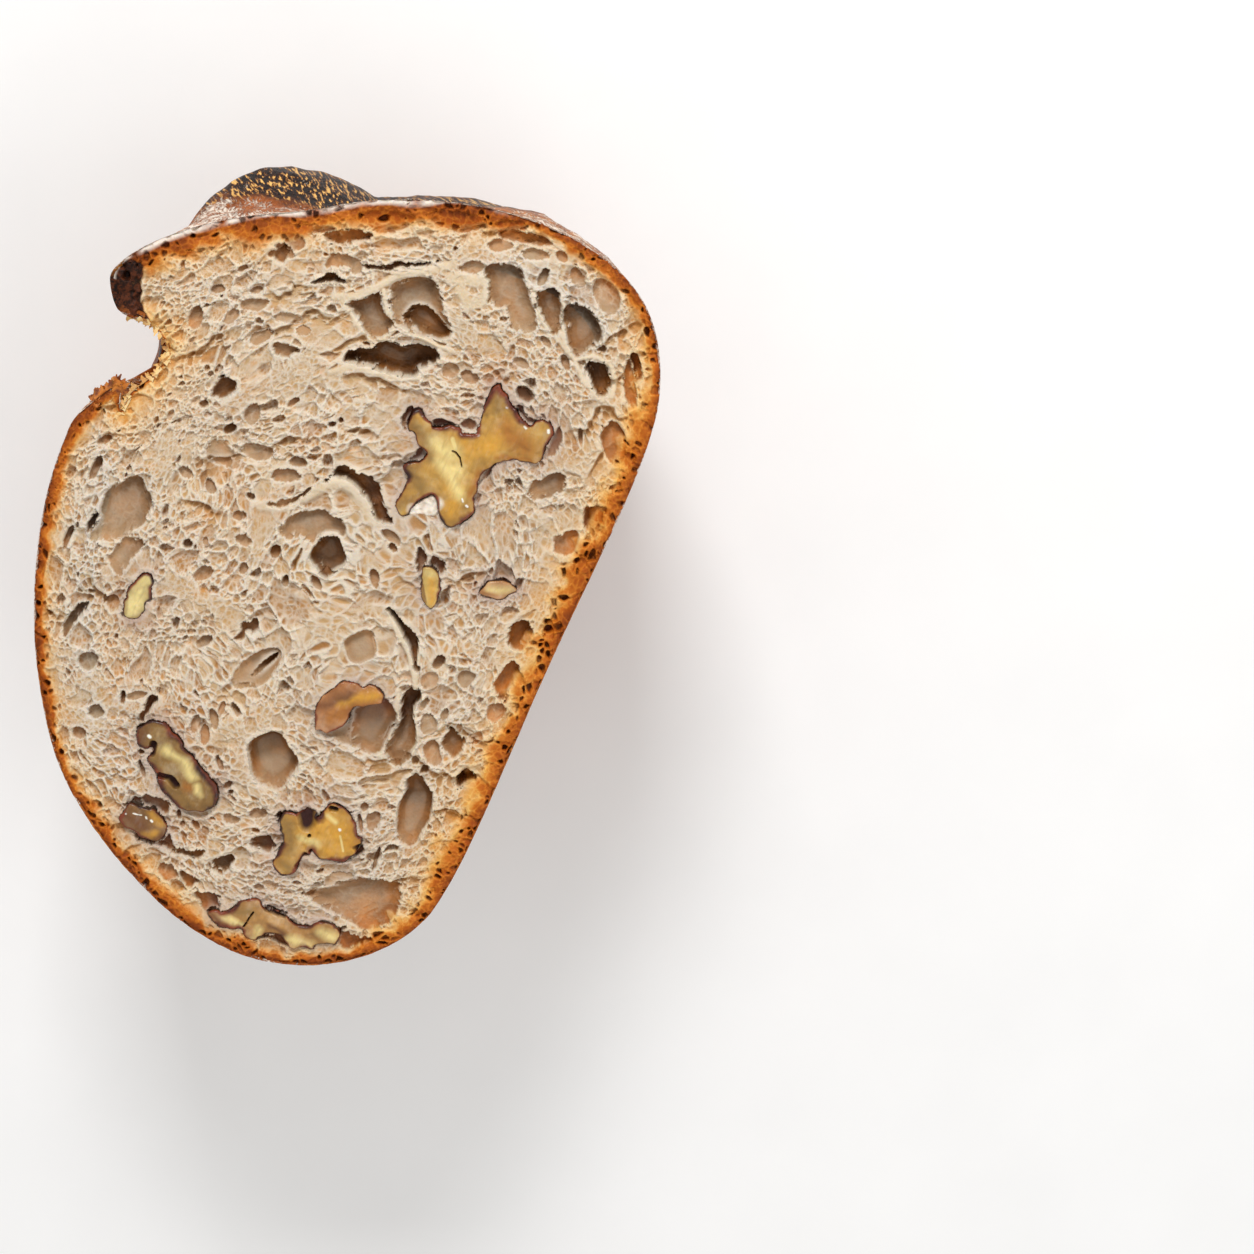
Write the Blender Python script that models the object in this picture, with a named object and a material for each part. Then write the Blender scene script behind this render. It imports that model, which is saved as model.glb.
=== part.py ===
"""Half of a round walnut loaf, cut through the middle and lying on its crust with the cut face up.

X runs along the loaf's width, Y from its flat baked base to its scored top, and Z out of the cut
face. The origin is under the middle of the bounding box, on the flat spot the crust rests on.
Sizes are millimetres and degrees; MM turns them into metres.
"""
import math

import bmesh
import bpy
import numpy as np
from mathutils import Matrix, Vector, noise

MM = 0.001

# The half loaf: from its rest spot to the cut face, and the slice of dome that the spot takes off
CUT_HEIGHT = 84.0
FLATTENED = 1.2
CUT_POLE = (-3.0, -8.6)
END_POLE = (1.0, -7.0)

# Outline of the cut without the lifted score: base corner, right side, top, left side, base
OUTLINE = (
    (46.0, -54.4), (66.0, -49.6), (78.2, -38.0), (82.0, -18.0), (77.6, 4.0), (67.0, 23.5),
    (52.0, 38.0), (32.0, 46.6), (8.5, 51.4), (-14.0, 49.4), (-38.5, 40.8), (-60.0, 26.6),
    (-74.6, 6.0), (-81.8, -17.0), (-78.2, -36.0), (-66.0, -50.0), (-48.0, -55.0), (0.0, -54.6),
)

# The dome closes as a superellipse, fuller under the loaf so that the base stays flat
DOME_POWER = 2.2
BASE_POWER = 3.4
BASE_ANGLE = 270.0
BASE_SPREAD = 110.0
RINGS = 28

# Crust relief: share of the radius and size of the broad swells, and of the small bumps
SWELL = (0.012, 16.0)
BUMP = (0.006, 5.5)

# The score, by depth below the cut: angle of the ear's tip, the ear's lift and the groove's depth
SCORE_DEPTH = (0.0, 10.0, 24.0, 38.0, 55.0, 72.0)
TIP_ANGLE = (58.0, 50.5, 39.0, 28.5, 14.0, -2.0)
EAR_LIFT = (11.6, 9.0, 12.6, 12.0, 6.0, 0.0)
GROOVE_DEPTH = (9.0, 8.8, 8.4, 7.4, 4.6, 0.0)
# Across the score: angle from the tip, angle it hangs over, share of the lift, share of the depth
SCORE_PROFILE = (
    (-33.0, 0.0, 0.00, 0.00), (-28.0, 0.0, 0.10, 0.00), (-23.0, 0.0, 0.26, 0.00),
    (-18.0, 0.0, 0.44, 0.00), (-13.0, 0.0, 0.64, 0.00), (-8.5, 0.0, 0.82, 0.00),
    (-4.5, 0.0, 0.94, 0.00), (-1.4, 0.0, 0.96, 0.00), (0.0, 0.0, 0.84, 0.00),
    (1.0, 0.4, 0.50, 0.00), (1.8, -1.1, 0.20, 0.00), (2.6, -3.8, 0.00, 0.12),
    (3.4, -5.2, 0.00, 0.80), (5.5, -2.0, 0.00, 0.96), (9.5, 0.0, 0.00, 0.78),
    (14.0, 0.0, 0.00, 0.80), (14.7, -3.6, 0.00, 0.52), (15.4, -2.8, 0.00, 0.34),
    (17.2, -1.0, 0.00, 0.18), (21.0, 0.0, 0.00, 0.00),
)
STILL_ANGLE = 215.0
STEPS_BEFORE_STILL = 34
STEPS_AFTER_STILL = 42

# The largest bubbles that the knife opened: x, y, length, width, turn of the length, depth
BUBBLES = (
    (56.5, -2.3, 13.2, 12.2, 20.0, 5.5), (51.3, 8.4, 8.8, 8.0, 30.0, 3.8),
    (44.6, -0.2, 20.4, 6.6, -69.0, 8.0), (66.1, -16.8, 13.6, 8.0, 44.0, 4.0),
    (65.6, -25.9, 9.0, 4.4, 24.0, 4.0), (64.2, -33.8, 10.6, 7.4, 34.0, 5.0),
    (54.6, -39.9, 7.0, 4.8, 34.0, 4.0), (73.2, -33.6, 6.4, 4.4, 34.0, 3.0),
    (-4.2, 35.6, 12.6, 9.2, -6.0, 3.4), (-32.2, 23.5, 7.4, 6.6, -66.0, 4.0),
    (3.4, -5.1, 7.0, 6.8, 0.0, 7.5), (7.4, 3.4, 8.8, 4.4, -30.0, 2.4),
    (-11.4, -16.8, 6.6, 6.4, 0.0, 2.8), (-24.5, -0.6, 10.4, 6.4, -21.0, 3.4),
    (-28.6, -25.4, 14.6, 11.6, 10.0, 3.2), (-41.6, -10.6, 12.0, 10.4, 14.0, 5.4),
    (-15.8, -29.6, 32.0, 5.2, 20.0, 4.0), (-40.6, -41.4, 14.6, 7.0, 28.0, 4.2),
    (-28.8, -45.6, 3.8, 3.4, 0.0, 7.0), (-60.6, -38.4, 17.0, 7.4, -62.0, 4.6),
    (4.0, -44.2, 5.4, 4.4, 4.0, 3.6), (33.4, -43.6, 6.4, 5.0, 24.0, 3.0),
    (15.2, 24.0, 6.4, 5.8, 0.0, 2.8), (-66.2, -2.2, 8.4, 3.8, -74.0, 3.2),
    (-41.2, 18.4, 5.6, 4.0, -30.0, 5.0), (20.8, -8.6, 15.0, 4.0, -64.0, 4.0),
    (74.0, -1.8, 11.0, 3.4, -76.0, 2.6), (10.8, -24.4, 3.6, 2.8, 0.0, 3.6),
)
BUBBLE_SEGMENTS = 12
BUBBLE_RINGS = 6

# Walnut pieces in the cut: how far each reaches into the crumb, and the gap round it
FIT_GAP = 0.3
ROUNDED = 0.8
CROSS_DEPTH = 10.0
CROSS_OUTLINE = (
    (49.1, -22.4), (46.6, -26.5), (44.7, -31.1), (46.7, -34.1), (43.8, -36.4), (39.4, -36.2),
    (36.7, -30.9), (31.5, -26.6), (23.8, -27.7), (19.5, -25.6), (19.6, -22.6), (23.1, -20.0),
    (18.4, -17.4), (17.8, -14.0), (22.5, -13.0), (26.9, -11.7), (30.9, -14.0), (33.8, -9.6),
    (37.4, -10.6), (37.0, -14.6), (38.7, -22.0), (43.6, -21.2),
)
CROOK_DEPTH = 7.0
CROOK_OUTLINE = (
    (-43.0, 12.7), (-43.6, 8.6), (-46.6, 3.2), (-49.4, -2.4), (-53.4, -4.6), (-56.4, -2.2),
    (-57.0, 3.0), (-54.6, 7.2), (-50.8, 9.8), (-47.4, 11.6), (-48.4, 14.4), (-45.6, 15.8),
)
TWIN_DEPTH = 8.0
TWIN_OUTLINE = (
    (-50.3, -18.3), (-54.9, -19.8), (-60.0, -19.8), (-62.0, -22.8), (-60.2, -24.8), (-55.8, -25.6),
    (-55.9, -28.4), (-54.9, -32.0), (-51.5, -34.7), (-48.2, -34.4), (-44.4, -29.4), (-45.4, -26.2),
    (-49.6, -24.6), (-50.4, -22.4), (-48.8, -20.5),
)
RIM_DEPTH = 6.0
RIM_OUTLINE = (
    (-73.9, -7.9), (-72.2, -11.2), (-74.0, -15.1), (-69.8, -19.8), (-70.9, -27.0), (-71.1, -31.4),
    (-69.0, -36.0), (-71.8, -38.6), (-74.8, -35.0), (-76.3, -30.8), (-75.4, -26.8), (-77.8, -22.4),
    (-76.6, -18.6), (-77.4, -13.6), (-75.6, -10.6),
)
# Small pieces: x, y, length, width, turn of the length, depth, and how uneven the outline is
SMALL_NUTS = (
    ("nut_sliver", 5.2, -26.2, 7.6, 3.6, 28.0, 4.0, 0.12),
    ("nut_pale", -19.6, 25.9, 8.6, 4.6, 4.0, 4.0, 0.10),
    ("nut_amber", -63.8, 7.4, 8.8, 7.4, 40.0, 5.0, 0.08),
    ("nut_tan", -24.3, -21.2, 13.6, 6.2, -38.0, 5.0, 0.12),
    ("nut_flake", 11.6, -40.4, 9.4, 4.0, -70.0, 3.0, 0.16),
)
SMALL_NUT_POINTS = 18

COLLECTION_NAME = "walnut_loaf_half"


def remove_everything():
    for old in list(bpy.data.objects):
        bpy.data.objects.remove(old, do_unlink=True)


def new_collection(name):
    collection = bpy.data.collections.new(name)
    bpy.context.scene.collection.children.link(collection)
    return collection


def material(name, colour, roughness):
    made = bpy.data.materials.new(name)
    made.use_nodes = True
    shader = made.node_tree.nodes["Principled BSDF"]
    shader.inputs["Base Color"].default_value = (*colour, 1.0)
    shader.inputs["Roughness"].default_value = roughness
    shader.inputs["Metallic"].default_value = 0.0
    return made


def object_from(bm, name, collection, *materials):
    """An object of the faces in bm, which are in millimetres, facing out."""
    bmesh.ops.recalc_face_normals(bm, faces=bm.faces)
    bmesh.ops.scale(bm, vec=Vector((MM, MM, MM)), verts=bm.verts)
    mesh = bpy.data.meshes.new(name)
    bm.to_mesh(mesh)
    bm.free()
    for each in materials:
        mesh.materials.append(each)
    made = bpy.data.objects.new(name, mesh)
    collection.objects.link(made)
    return made


def mark_as_cutter(cutter):
    cutter.hide_render = True
    cutter.display_type = "WIRE"
    return cutter


def rounded_through(points, steps):
    """A closed smooth curve through the points, with this many steps from each to the next."""
    corners = np.array(points)
    before, start = np.roll(corners, 1, axis=0), corners
    end, after = np.roll(corners, -1, axis=0), np.roll(corners, -2, axis=0)
    path = []
    for p0, p1, p2, p3 in zip(before, start, end, after):
        for t in np.arange(steps) / steps:
            path.append(0.5 * (2 * p1 + (p2 - p0) * t + (2 * p0 - 5 * p1 + 4 * p2 - p3) * t**2
                               + (3 * p1 - p0 - 3 * p2 + p3) * t**3))
    return np.array(path)


def outline_radius():
    """The cut's plain outline as a function from the angle at its pole to the radius."""
    curve = rounded_through(OUTLINE, 12) - np.array(CUT_POLE)
    angles = np.degrees(np.arctan2(curve[:, 1], curve[:, 0])) % 360
    radii = np.hypot(curve[:, 0], curve[:, 1])
    order = np.argsort(angles)
    return lambda angle: float(np.interp(angle % 360, angles[order], radii[order], period=360))


def bump_at(angle, centre, spread):
    """1 at the centre angle, falling smoothly to 0 at the spread."""
    away = abs((angle - centre + 180) % 360 - 180) / spread
    return 0.5 + 0.5 * math.cos(math.pi * min(away, 1.0))


def ring_stations(depth):
    """Each point of one ring as its angle, overhang angle, lift and cut in millimetres."""
    tip = float(np.interp(depth, SCORE_DEPTH, TIP_ANGLE))
    lift = float(np.interp(depth, SCORE_DEPTH, EAR_LIFT))
    groove = float(np.interp(depth, SCORE_DEPTH, GROOVE_DEPTH))
    opened = groove / GROOVE_DEPTH[0]
    stations = []
    for turn, overhang, lift_share, depth_share in SCORE_PROFILE:
        stations.append((tip + turn, overhang * opened, lift * lift_share, groove * depth_share))
    first, last = tip + SCORE_PROFILE[-1][0], tip + 360 + SCORE_PROFILE[0][0]
    plain = [first + (STILL_ANGLE - first) * k / STEPS_BEFORE_STILL for k in range(1, STEPS_BEFORE_STILL)]
    plain += [STILL_ANGLE + (last - STILL_ANGLE) * k / STEPS_AFTER_STILL for k in range(STEPS_AFTER_STILL)]
    return stations + [(angle, 0.0, 0.0, 0.0) for angle in plain]


def crust_relief(point):
    relief = 0.0
    for share, size in (SWELL, BUMP):
        relief += share * noise.noise(point / size)
    return relief


def ring_points(radius_at, depth):
    """One ring of the crust, at this depth below the cut face."""
    full_depth = CUT_HEIGHT + FLATTENED
    inward = depth / full_depth
    pole_x, pole_y = (a + (b - a) * inward**1.5 for a, b in zip(CUT_POLE, END_POLE))
    ring = []
    for angle, overhang, lift, cut in ring_stations(depth):
        power = DOME_POWER + (BASE_POWER - DOME_POWER) * bump_at(angle, BASE_ANGLE, BASE_SPREAD)
        closing = (1.0 - inward**power) ** (1.0 / power)
        radius = radius_at(angle + overhang) * closing + lift - cut
        turn = math.radians(angle + overhang)
        place = Vector((pole_x + radius * math.cos(turn), pole_y + radius * math.sin(turn), 0.0))
        radius *= 1.0 + crust_relief(Vector((place.x, place.y, depth)))
        place.x, place.y = pole_x + radius * math.cos(turn), pole_y + radius * math.sin(turn)
        place.z = CUT_HEIGHT - depth
        ring.append(place)
    return ring


def loaf_body(collection, crumb, crust):
    """The whole half loaf before its bubbles: rings of unlike outline from the cut to the rest spot."""
    radius_at = outline_radius()
    last_turn = math.asin(CUT_HEIGHT / (CUT_HEIGHT + FLATTENED))
    bm = bmesh.new()
    rings = []
    for k in range(RINGS + 1):
        depth = (CUT_HEIGHT + FLATTENED) * math.sin(last_turn * k / RINGS)
        rings.append([bm.verts.new(place) for place in ring_points(radius_at, depth)])
    for upper, lower in zip(rings, rings[1:]):
        for k in range(len(upper)):
            face = bm.faces.new((upper[k - 1], upper[k], lower[k], lower[k - 1]))
            face.material_index = 1
            face.smooth = True
    bm.faces.new(rings[0])
    bm.faces.new(rings[-1]).material_index = 1
    return object_from(bm, "loaf", collection, crumb, crust)


def bubble(collection, number, x, y, length, width, turn, depth):
    """A cutter shaped like one bubble, half of it above the cut face."""
    bm = bmesh.new()
    bmesh.ops.create_uvsphere(bm, u_segments=BUBBLE_SEGMENTS, v_segments=BUBBLE_RINGS, radius=1.0)
    place = Matrix.Translation((x, y, CUT_HEIGHT)) @ Matrix.Rotation(math.radians(turn), 4, "Z")
    place = place @ Matrix.Diagonal((length / 2, width / 2, depth, 1.0))
    for vertex in bm.verts:
        dent = 1.0 + 0.12 * noise.noise(vertex.co * 1.3 + Vector((x, y, 0.0)))
        vertex.co = place @ (vertex.co * dent)
    return mark_as_cutter(object_from(bm, f"bubble_{number:02d}", collection))


def grown(outline, gap):
    """The outline moved outwards by the gap, corner by corner."""
    before, after = np.roll(outline, 1, axis=0), np.roll(outline, -1, axis=0)
    one, two = outline - before, after - outline
    one /= np.linalg.norm(one, axis=1, keepdims=True)
    two /= np.linalg.norm(two, axis=1, keepdims=True)
    middle = one + two
    middle /= np.linalg.norm(middle, axis=1, keepdims=True)
    outward = np.stack([middle[:, 1], -middle[:, 0]], axis=1)
    x, y = outline[:, 0], outline[:, 1]
    runs_left = np.sum(x * np.roll(y, -1) - np.roll(x, -1) * y) > 0
    stretch = gap / np.clip(np.sum(one * middle, axis=1), 0.6, 1.0)
    return outline + outward * (stretch if runs_left else -stretch)[:, None]


def plug(outline, top, bottom):
    """A block of this outline from its flat top down to a bottom with a rounded edge."""
    bm = bmesh.new()
    face = bm.faces.new([bm.verts.new((x, y, top)) for x, y in outline])
    face.normal_update()
    if face.normal.z < 0:
        face.normal_flip()
    made = bmesh.ops.extrude_face_region(bm, geom=[face])
    low_verts = [part for part in made["geom"] if isinstance(part, bmesh.types.BMVert)]
    low_faces = [part for part in made["geom"] if isinstance(part, bmesh.types.BMFace)]
    for vertex in low_verts:
        vertex.co.z = bottom + ROUNDED
    bmesh.ops.recalc_face_normals(bm, faces=bm.faces)
    bmesh.ops.inset_region(bm, faces=low_faces, thickness=ROUNDED, depth=0.0, use_even_offset=False)
    for face in low_faces:
        for vertex in face.verts:
            vertex.co.z = bottom
    return bm


def walnut(nodes, cutters, name, outline, depth, flesh):
    """A walnut piece flush with the cut face, and the socket it sits in."""
    top = CUT_HEIGHT
    object_from(plug(outline, top, top - depth), name, nodes, flesh)
    socket = plug(grown(outline, FIT_GAP), top + 2.0, top - depth - FIT_GAP)
    mark_as_cutter(object_from(socket, f"socket_{name}", cutters))


def uneven_oval(x, y, length, width, turn, uneven):
    """An oval outline with a wavy edge, for a small piece of nut."""
    outline = []
    cos_turn, sin_turn = math.cos(math.radians(turn)), math.sin(math.radians(turn))
    for k in range(SMALL_NUT_POINTS):
        angle = 2 * math.pi * k / SMALL_NUT_POINTS
        wave = 1.0 + uneven * math.sin(3 * angle + x) + 0.5 * uneven * math.sin(5 * angle + y)
        along, across = length / 2 * wave * math.cos(angle), width / 2 * wave * math.sin(angle)
        outline.append((x + along * cos_turn - across * sin_turn, y + along * sin_turn + across * cos_turn))
    return np.array(outline)


def cut_away(target, cutters):
    """Takes every object of the collection out of the target."""
    cut = target.modifiers.new(f"cut_{cutters.name}", "BOOLEAN")
    cut.operation = "DIFFERENCE"
    cut.operand_type = "COLLECTION"
    cut.collection = cutters
    cut.solver = "EXACT"


def build():
    remove_everything()
    nodes = new_collection(COLLECTION_NAME)
    bubbles = new_collection("bubble_cutters")
    sockets = new_collection("socket_cutters")
    crumb = material("crumb", (0.70, 0.60, 0.47), 0.85)
    crust = material("crust", (0.42, 0.19, 0.06), 0.7)
    flesh = material("walnut", (0.62, 0.45, 0.16), 0.5)

    loaf = loaf_body(nodes, crumb, crust)
    for number, sizes in enumerate(BUBBLES, 1):
        bubble(bubbles, number, *sizes)
    large_nuts = (
        ("nut_cross", CROSS_OUTLINE, CROSS_DEPTH), ("nut_crook", CROOK_OUTLINE, CROOK_DEPTH),
        ("nut_twin", TWIN_OUTLINE, TWIN_DEPTH), ("nut_rim", RIM_OUTLINE, RIM_DEPTH),
    )
    for name, outline, depth in large_nuts:
        walnut(nodes, sockets, name, rounded_through(outline, 3), depth, flesh)
    for name, x, y, length, width, turn, depth, uneven in SMALL_NUTS:
        walnut(nodes, sockets, name, uneven_oval(x, y, length, width, turn, uneven), depth, flesh)
    cut_away(loaf, bubbles)
    cut_away(loaf, sockets)


build()
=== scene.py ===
"""Half of a round walnut loaf, lying on its crust with the cut face up: the looks.

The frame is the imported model's: X along the loaf's width, Y from its flat base to its scored top,
Z out of the cut face. Shapes are worked out in millimetres and put into metres with MM.
"""
import math

import bpy
import numpy as np
from mathutils import Matrix, Vector


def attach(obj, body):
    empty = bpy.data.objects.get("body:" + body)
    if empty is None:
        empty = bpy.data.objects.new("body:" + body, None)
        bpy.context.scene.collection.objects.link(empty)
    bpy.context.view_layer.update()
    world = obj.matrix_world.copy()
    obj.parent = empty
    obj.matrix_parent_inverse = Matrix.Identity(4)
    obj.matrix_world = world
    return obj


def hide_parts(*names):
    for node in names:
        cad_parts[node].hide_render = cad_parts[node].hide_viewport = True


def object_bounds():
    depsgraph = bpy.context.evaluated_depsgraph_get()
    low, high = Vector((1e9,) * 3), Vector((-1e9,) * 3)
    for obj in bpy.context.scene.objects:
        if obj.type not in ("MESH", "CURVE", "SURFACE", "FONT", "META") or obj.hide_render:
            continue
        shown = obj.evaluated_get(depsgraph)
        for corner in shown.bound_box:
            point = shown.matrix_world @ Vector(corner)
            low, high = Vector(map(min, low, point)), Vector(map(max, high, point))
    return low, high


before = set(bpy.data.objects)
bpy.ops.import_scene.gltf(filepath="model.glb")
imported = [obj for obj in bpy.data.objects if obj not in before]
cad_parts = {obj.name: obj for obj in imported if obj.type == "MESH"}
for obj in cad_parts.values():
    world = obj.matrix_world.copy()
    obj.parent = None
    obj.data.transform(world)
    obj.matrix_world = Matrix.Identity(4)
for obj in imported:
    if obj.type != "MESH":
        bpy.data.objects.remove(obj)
cad_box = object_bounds()
MM = 0.001

# The half loaf's form. One lump of dough, proved in a floured basket, slashed once and baked on a
# hot floor: a domed crust that the oven split along the slash, so that one lip lifted as an ear.
# It was cut in two, and the cut is this half's flat top.
CUT_HEIGHT = 84.0
FLATTENED = 1.2
CUT_POLE = (-3.0, -8.6)
END_POLE = (1.0, -7.0)
OUTLINE = (
    (46.0, -54.4), (66.0, -49.6), (78.2, -38.0), (82.0, -18.0), (77.6, 4.0), (67.0, 23.5),
    (52.0, 38.0), (32.0, 46.6), (8.5, 51.4), (-14.0, 49.4), (-38.5, 40.8), (-60.0, 26.6),
    (-74.6, 6.0), (-81.8, -17.0), (-78.2, -36.0), (-66.0, -50.0), (-48.0, -55.0), (0.0, -54.6),
)
DOME_POWER, BASE_POWER = 2.2, 3.4
BASE_ANGLE, BASE_SPREAD = 270.0, 110.0
# The slash as it runs down from the cut: how far below it, the bearing of the ear's tip, the ear's
# lift and the groove's depth
SCORE_DEPTH = (0.0, 10.0, 24.0, 38.0, 55.0, 72.0)
TIP_ANGLE = (58.0, 50.5, 39.0, 28.5, 14.0, -2.0)
EAR_LIFT = (11.6, 9.0, 12.6, 12.0, 6.0, 0.0)
GROOVE_DEPTH = (9.0, 8.8, 8.4, 7.4, 4.6, 0.0)
# Across the slash: degrees past the tip, its overhang, the share of the lift and of the groove
SCORE_PROFILE = np.array((
    (-33.0, 0.0, 0.00, 0.00), (-28.0, 0.0, 0.10, 0.00), (-23.0, 0.0, 0.26, 0.00),
    (-18.0, 0.0, 0.44, 0.00), (-13.0, 0.0, 0.64, 0.00), (-8.5, 0.0, 0.82, 0.00),
    (-4.5, 0.0, 0.94, 0.00), (-1.4, 0.0, 0.96, 0.00), (0.0, 0.0, 0.84, 0.00),
    (1.0, 0.4, 0.50, 0.00), (1.8, -1.1, 0.20, 0.00), (2.6, -3.8, 0.00, 0.12),
    (3.4, -5.2, 0.00, 0.80), (5.5, -2.0, 0.00, 0.96), (9.5, 0.0, 0.00, 0.78),
    (14.0, 0.0, 0.00, 0.80), (14.7, -3.6, 0.00, 0.52), (15.4, -2.8, 0.00, 0.34),
    (17.2, -1.0, 0.00, 0.18), (21.0, 0.0, 0.00, 0.00),
))
STILL_ANGLE, STEPS_BEFORE_STILL, STEPS_AFTER_STILL = 215.0, 34, 42
TIP_STATION, LIP_STATION = 8, 17


def closed_curve(corners, steps):
    """A smooth closed curve through the corners, one row for each step."""
    p0, p1 = np.roll(corners, 1, axis=0), np.asarray(corners, float)
    p2, p3 = np.roll(corners, -1, axis=0), np.roll(corners, -2, axis=0)
    t = (np.arange(steps) / steps)[None, :, None]
    a, b, c, d = (p[:, None, :] for p in (p0, p1, p2, p3))
    curve = 0.5 * (2 * b + (c - a) * t + (2 * a - 5 * b + 4 * c - d) * t**2
                   + (3 * b - a - 3 * c + d) * t**3)
    return curve.reshape(-1, p1.shape[1])


def lot(cell, seed):
    """A random number from 0 to 1 for each whole-number cell."""
    mixed = cell[..., 0] * 73856093 ^ cell[..., 1] * 19349663 ^ cell[..., 2] * 83492791 ^ seed * 40503
    mixed = (mixed ^ (mixed >> 13)) * 1274126177 & 0xFFFFFFFF
    mixed = (mixed ^ (mixed >> 15)) * 2246822519 & 0xFFFFFFFF
    return ((mixed ^ (mixed >> 13)) & 0xFFFFF) / 0xFFFFF


def grain(points, size, seed):
    """Smooth random values from -1 to 1 at points in millimetres, changing over this size."""
    p = np.atleast_2d(points) / size
    if p.shape[-1] == 2:
        p = np.concatenate([p, np.zeros(p.shape[:-1] + (1,))], axis=-1)
    cell = np.floor(p).astype(np.int64)
    t = p - cell
    t = t * t * (3 - 2 * t)
    total = 0.0
    for corner in range(8):
        step = np.array([corner & 1, corner >> 1 & 1, corner >> 2 & 1])
        weight = np.prod(np.where(step, t, 1 - t), axis=-1)
        total = total + weight * lot(cell + step, seed)
    return total * 2 - 1


def push(points, size, seed):
    """A random way and length in x and y for each point, changing over this size."""
    return np.stack([grain(points, size, seed), grain(points, size, seed + 1)], axis=-1)


def unit(values):
    """The values, held between 0 and 1."""
    return np.clip(values, 0, 1)


def outline_radius(angle):
    """Radius of the plain outline of the cut at these angles from its pole."""
    curve = closed_curve(OUTLINE, 12) - np.array(CUT_POLE)
    angles = np.degrees(np.arctan2(curve[:, 1], curve[:, 0])) % 360
    order = np.argsort(angles)
    radii = np.hypot(curve[:, 0], curve[:, 1])[order]
    return np.interp(angle % 360, angles[order], radii, period=360)


def ring(depth):
    """The stations of one ring of the crust at this depth below the cut, as x and y."""
    tip = np.interp(depth, SCORE_DEPTH, TIP_ANGLE)
    lift = np.interp(depth, SCORE_DEPTH, EAR_LIFT)
    groove = np.interp(depth, SCORE_DEPTH, GROOVE_DEPTH)
    turn, overhang, lift_share, depth_share = SCORE_PROFILE.T
    first, last = tip + turn[-1], tip + 360 + turn[0]
    before = first + (STILL_ANGLE - first) * np.arange(1, STEPS_BEFORE_STILL) / STEPS_BEFORE_STILL
    after = STILL_ANGLE + (last - STILL_ANGLE) * np.arange(STEPS_AFTER_STILL) / STEPS_AFTER_STILL
    plain = np.zeros(len(before) + len(after))
    angle = np.concatenate([tip + turn + overhang * groove / GROOVE_DEPTH[0], before, after])
    inward = depth / (CUT_HEIGHT + FLATTENED)
    away = np.minimum(np.abs((angle - BASE_ANGLE + 180) % 360 - 180) / BASE_SPREAD, 1.0)
    power = DOME_POWER + (BASE_POWER - DOME_POWER) * (0.5 + 0.5 * np.cos(np.pi * away))
    radius = outline_radius(angle) * (1 - inward**power) ** (1 / power)
    radius = radius + np.concatenate([lift * lift_share - groove * depth_share, plain])
    pole = np.array(CUT_POLE) + (np.array(END_POLE) - np.array(CUT_POLE)) * inward**1.5
    turned = np.radians(angle)
    return pole + radius[:, None] * np.stack([np.cos(turned), np.sin(turned)], axis=1)


STATION_STEPS = 6
cut_edge = closed_curve(ring(0.0), STATION_STEPS)


def piece(name, points, faces, attributes, material, normals=None):
    """A mesh object of points in millimetres, with one number for each point in each attribute."""
    mesh = bpy.data.meshes.new(name)
    mesh.vertices.add(len(points))
    mesh.vertices.foreach_set("co", (points * MM).astype(np.float32).ravel())
    mesh.loops.add(faces.size)
    mesh.loops.foreach_set("vertex_index", faces.astype(np.int32).ravel())
    mesh.polygons.add(len(faces))
    mesh.polygons.foreach_set("loop_start", np.arange(0, faces.size, faces.shape[1], dtype=np.int32))
    mesh.update(calc_edges=True)
    mesh.validate()
    mesh.polygons.foreach_set("use_smooth", np.ones(len(mesh.polygons), dtype=bool))
    for label, values in attributes.items():
        field = mesh.attributes.new(label, "FLOAT", "POINT")
        field.data.foreach_set("value", values.astype(np.float32))
    if normals is not None:
        mesh.normals_split_custom_set_from_vertices(normals.tolist())
    mesh.materials.append(material)
    made = bpy.data.objects.new(name, mesh)
    bpy.context.scene.collection.objects.link(made)
    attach(made, "root")
    return made


# How far from an outline distances to it are worked out, and how many steps of the grid a point may
# be outside it and still be drawn onto it
EDGE_REACH = 12.0
DRAWN_REACH = 0.8


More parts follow.
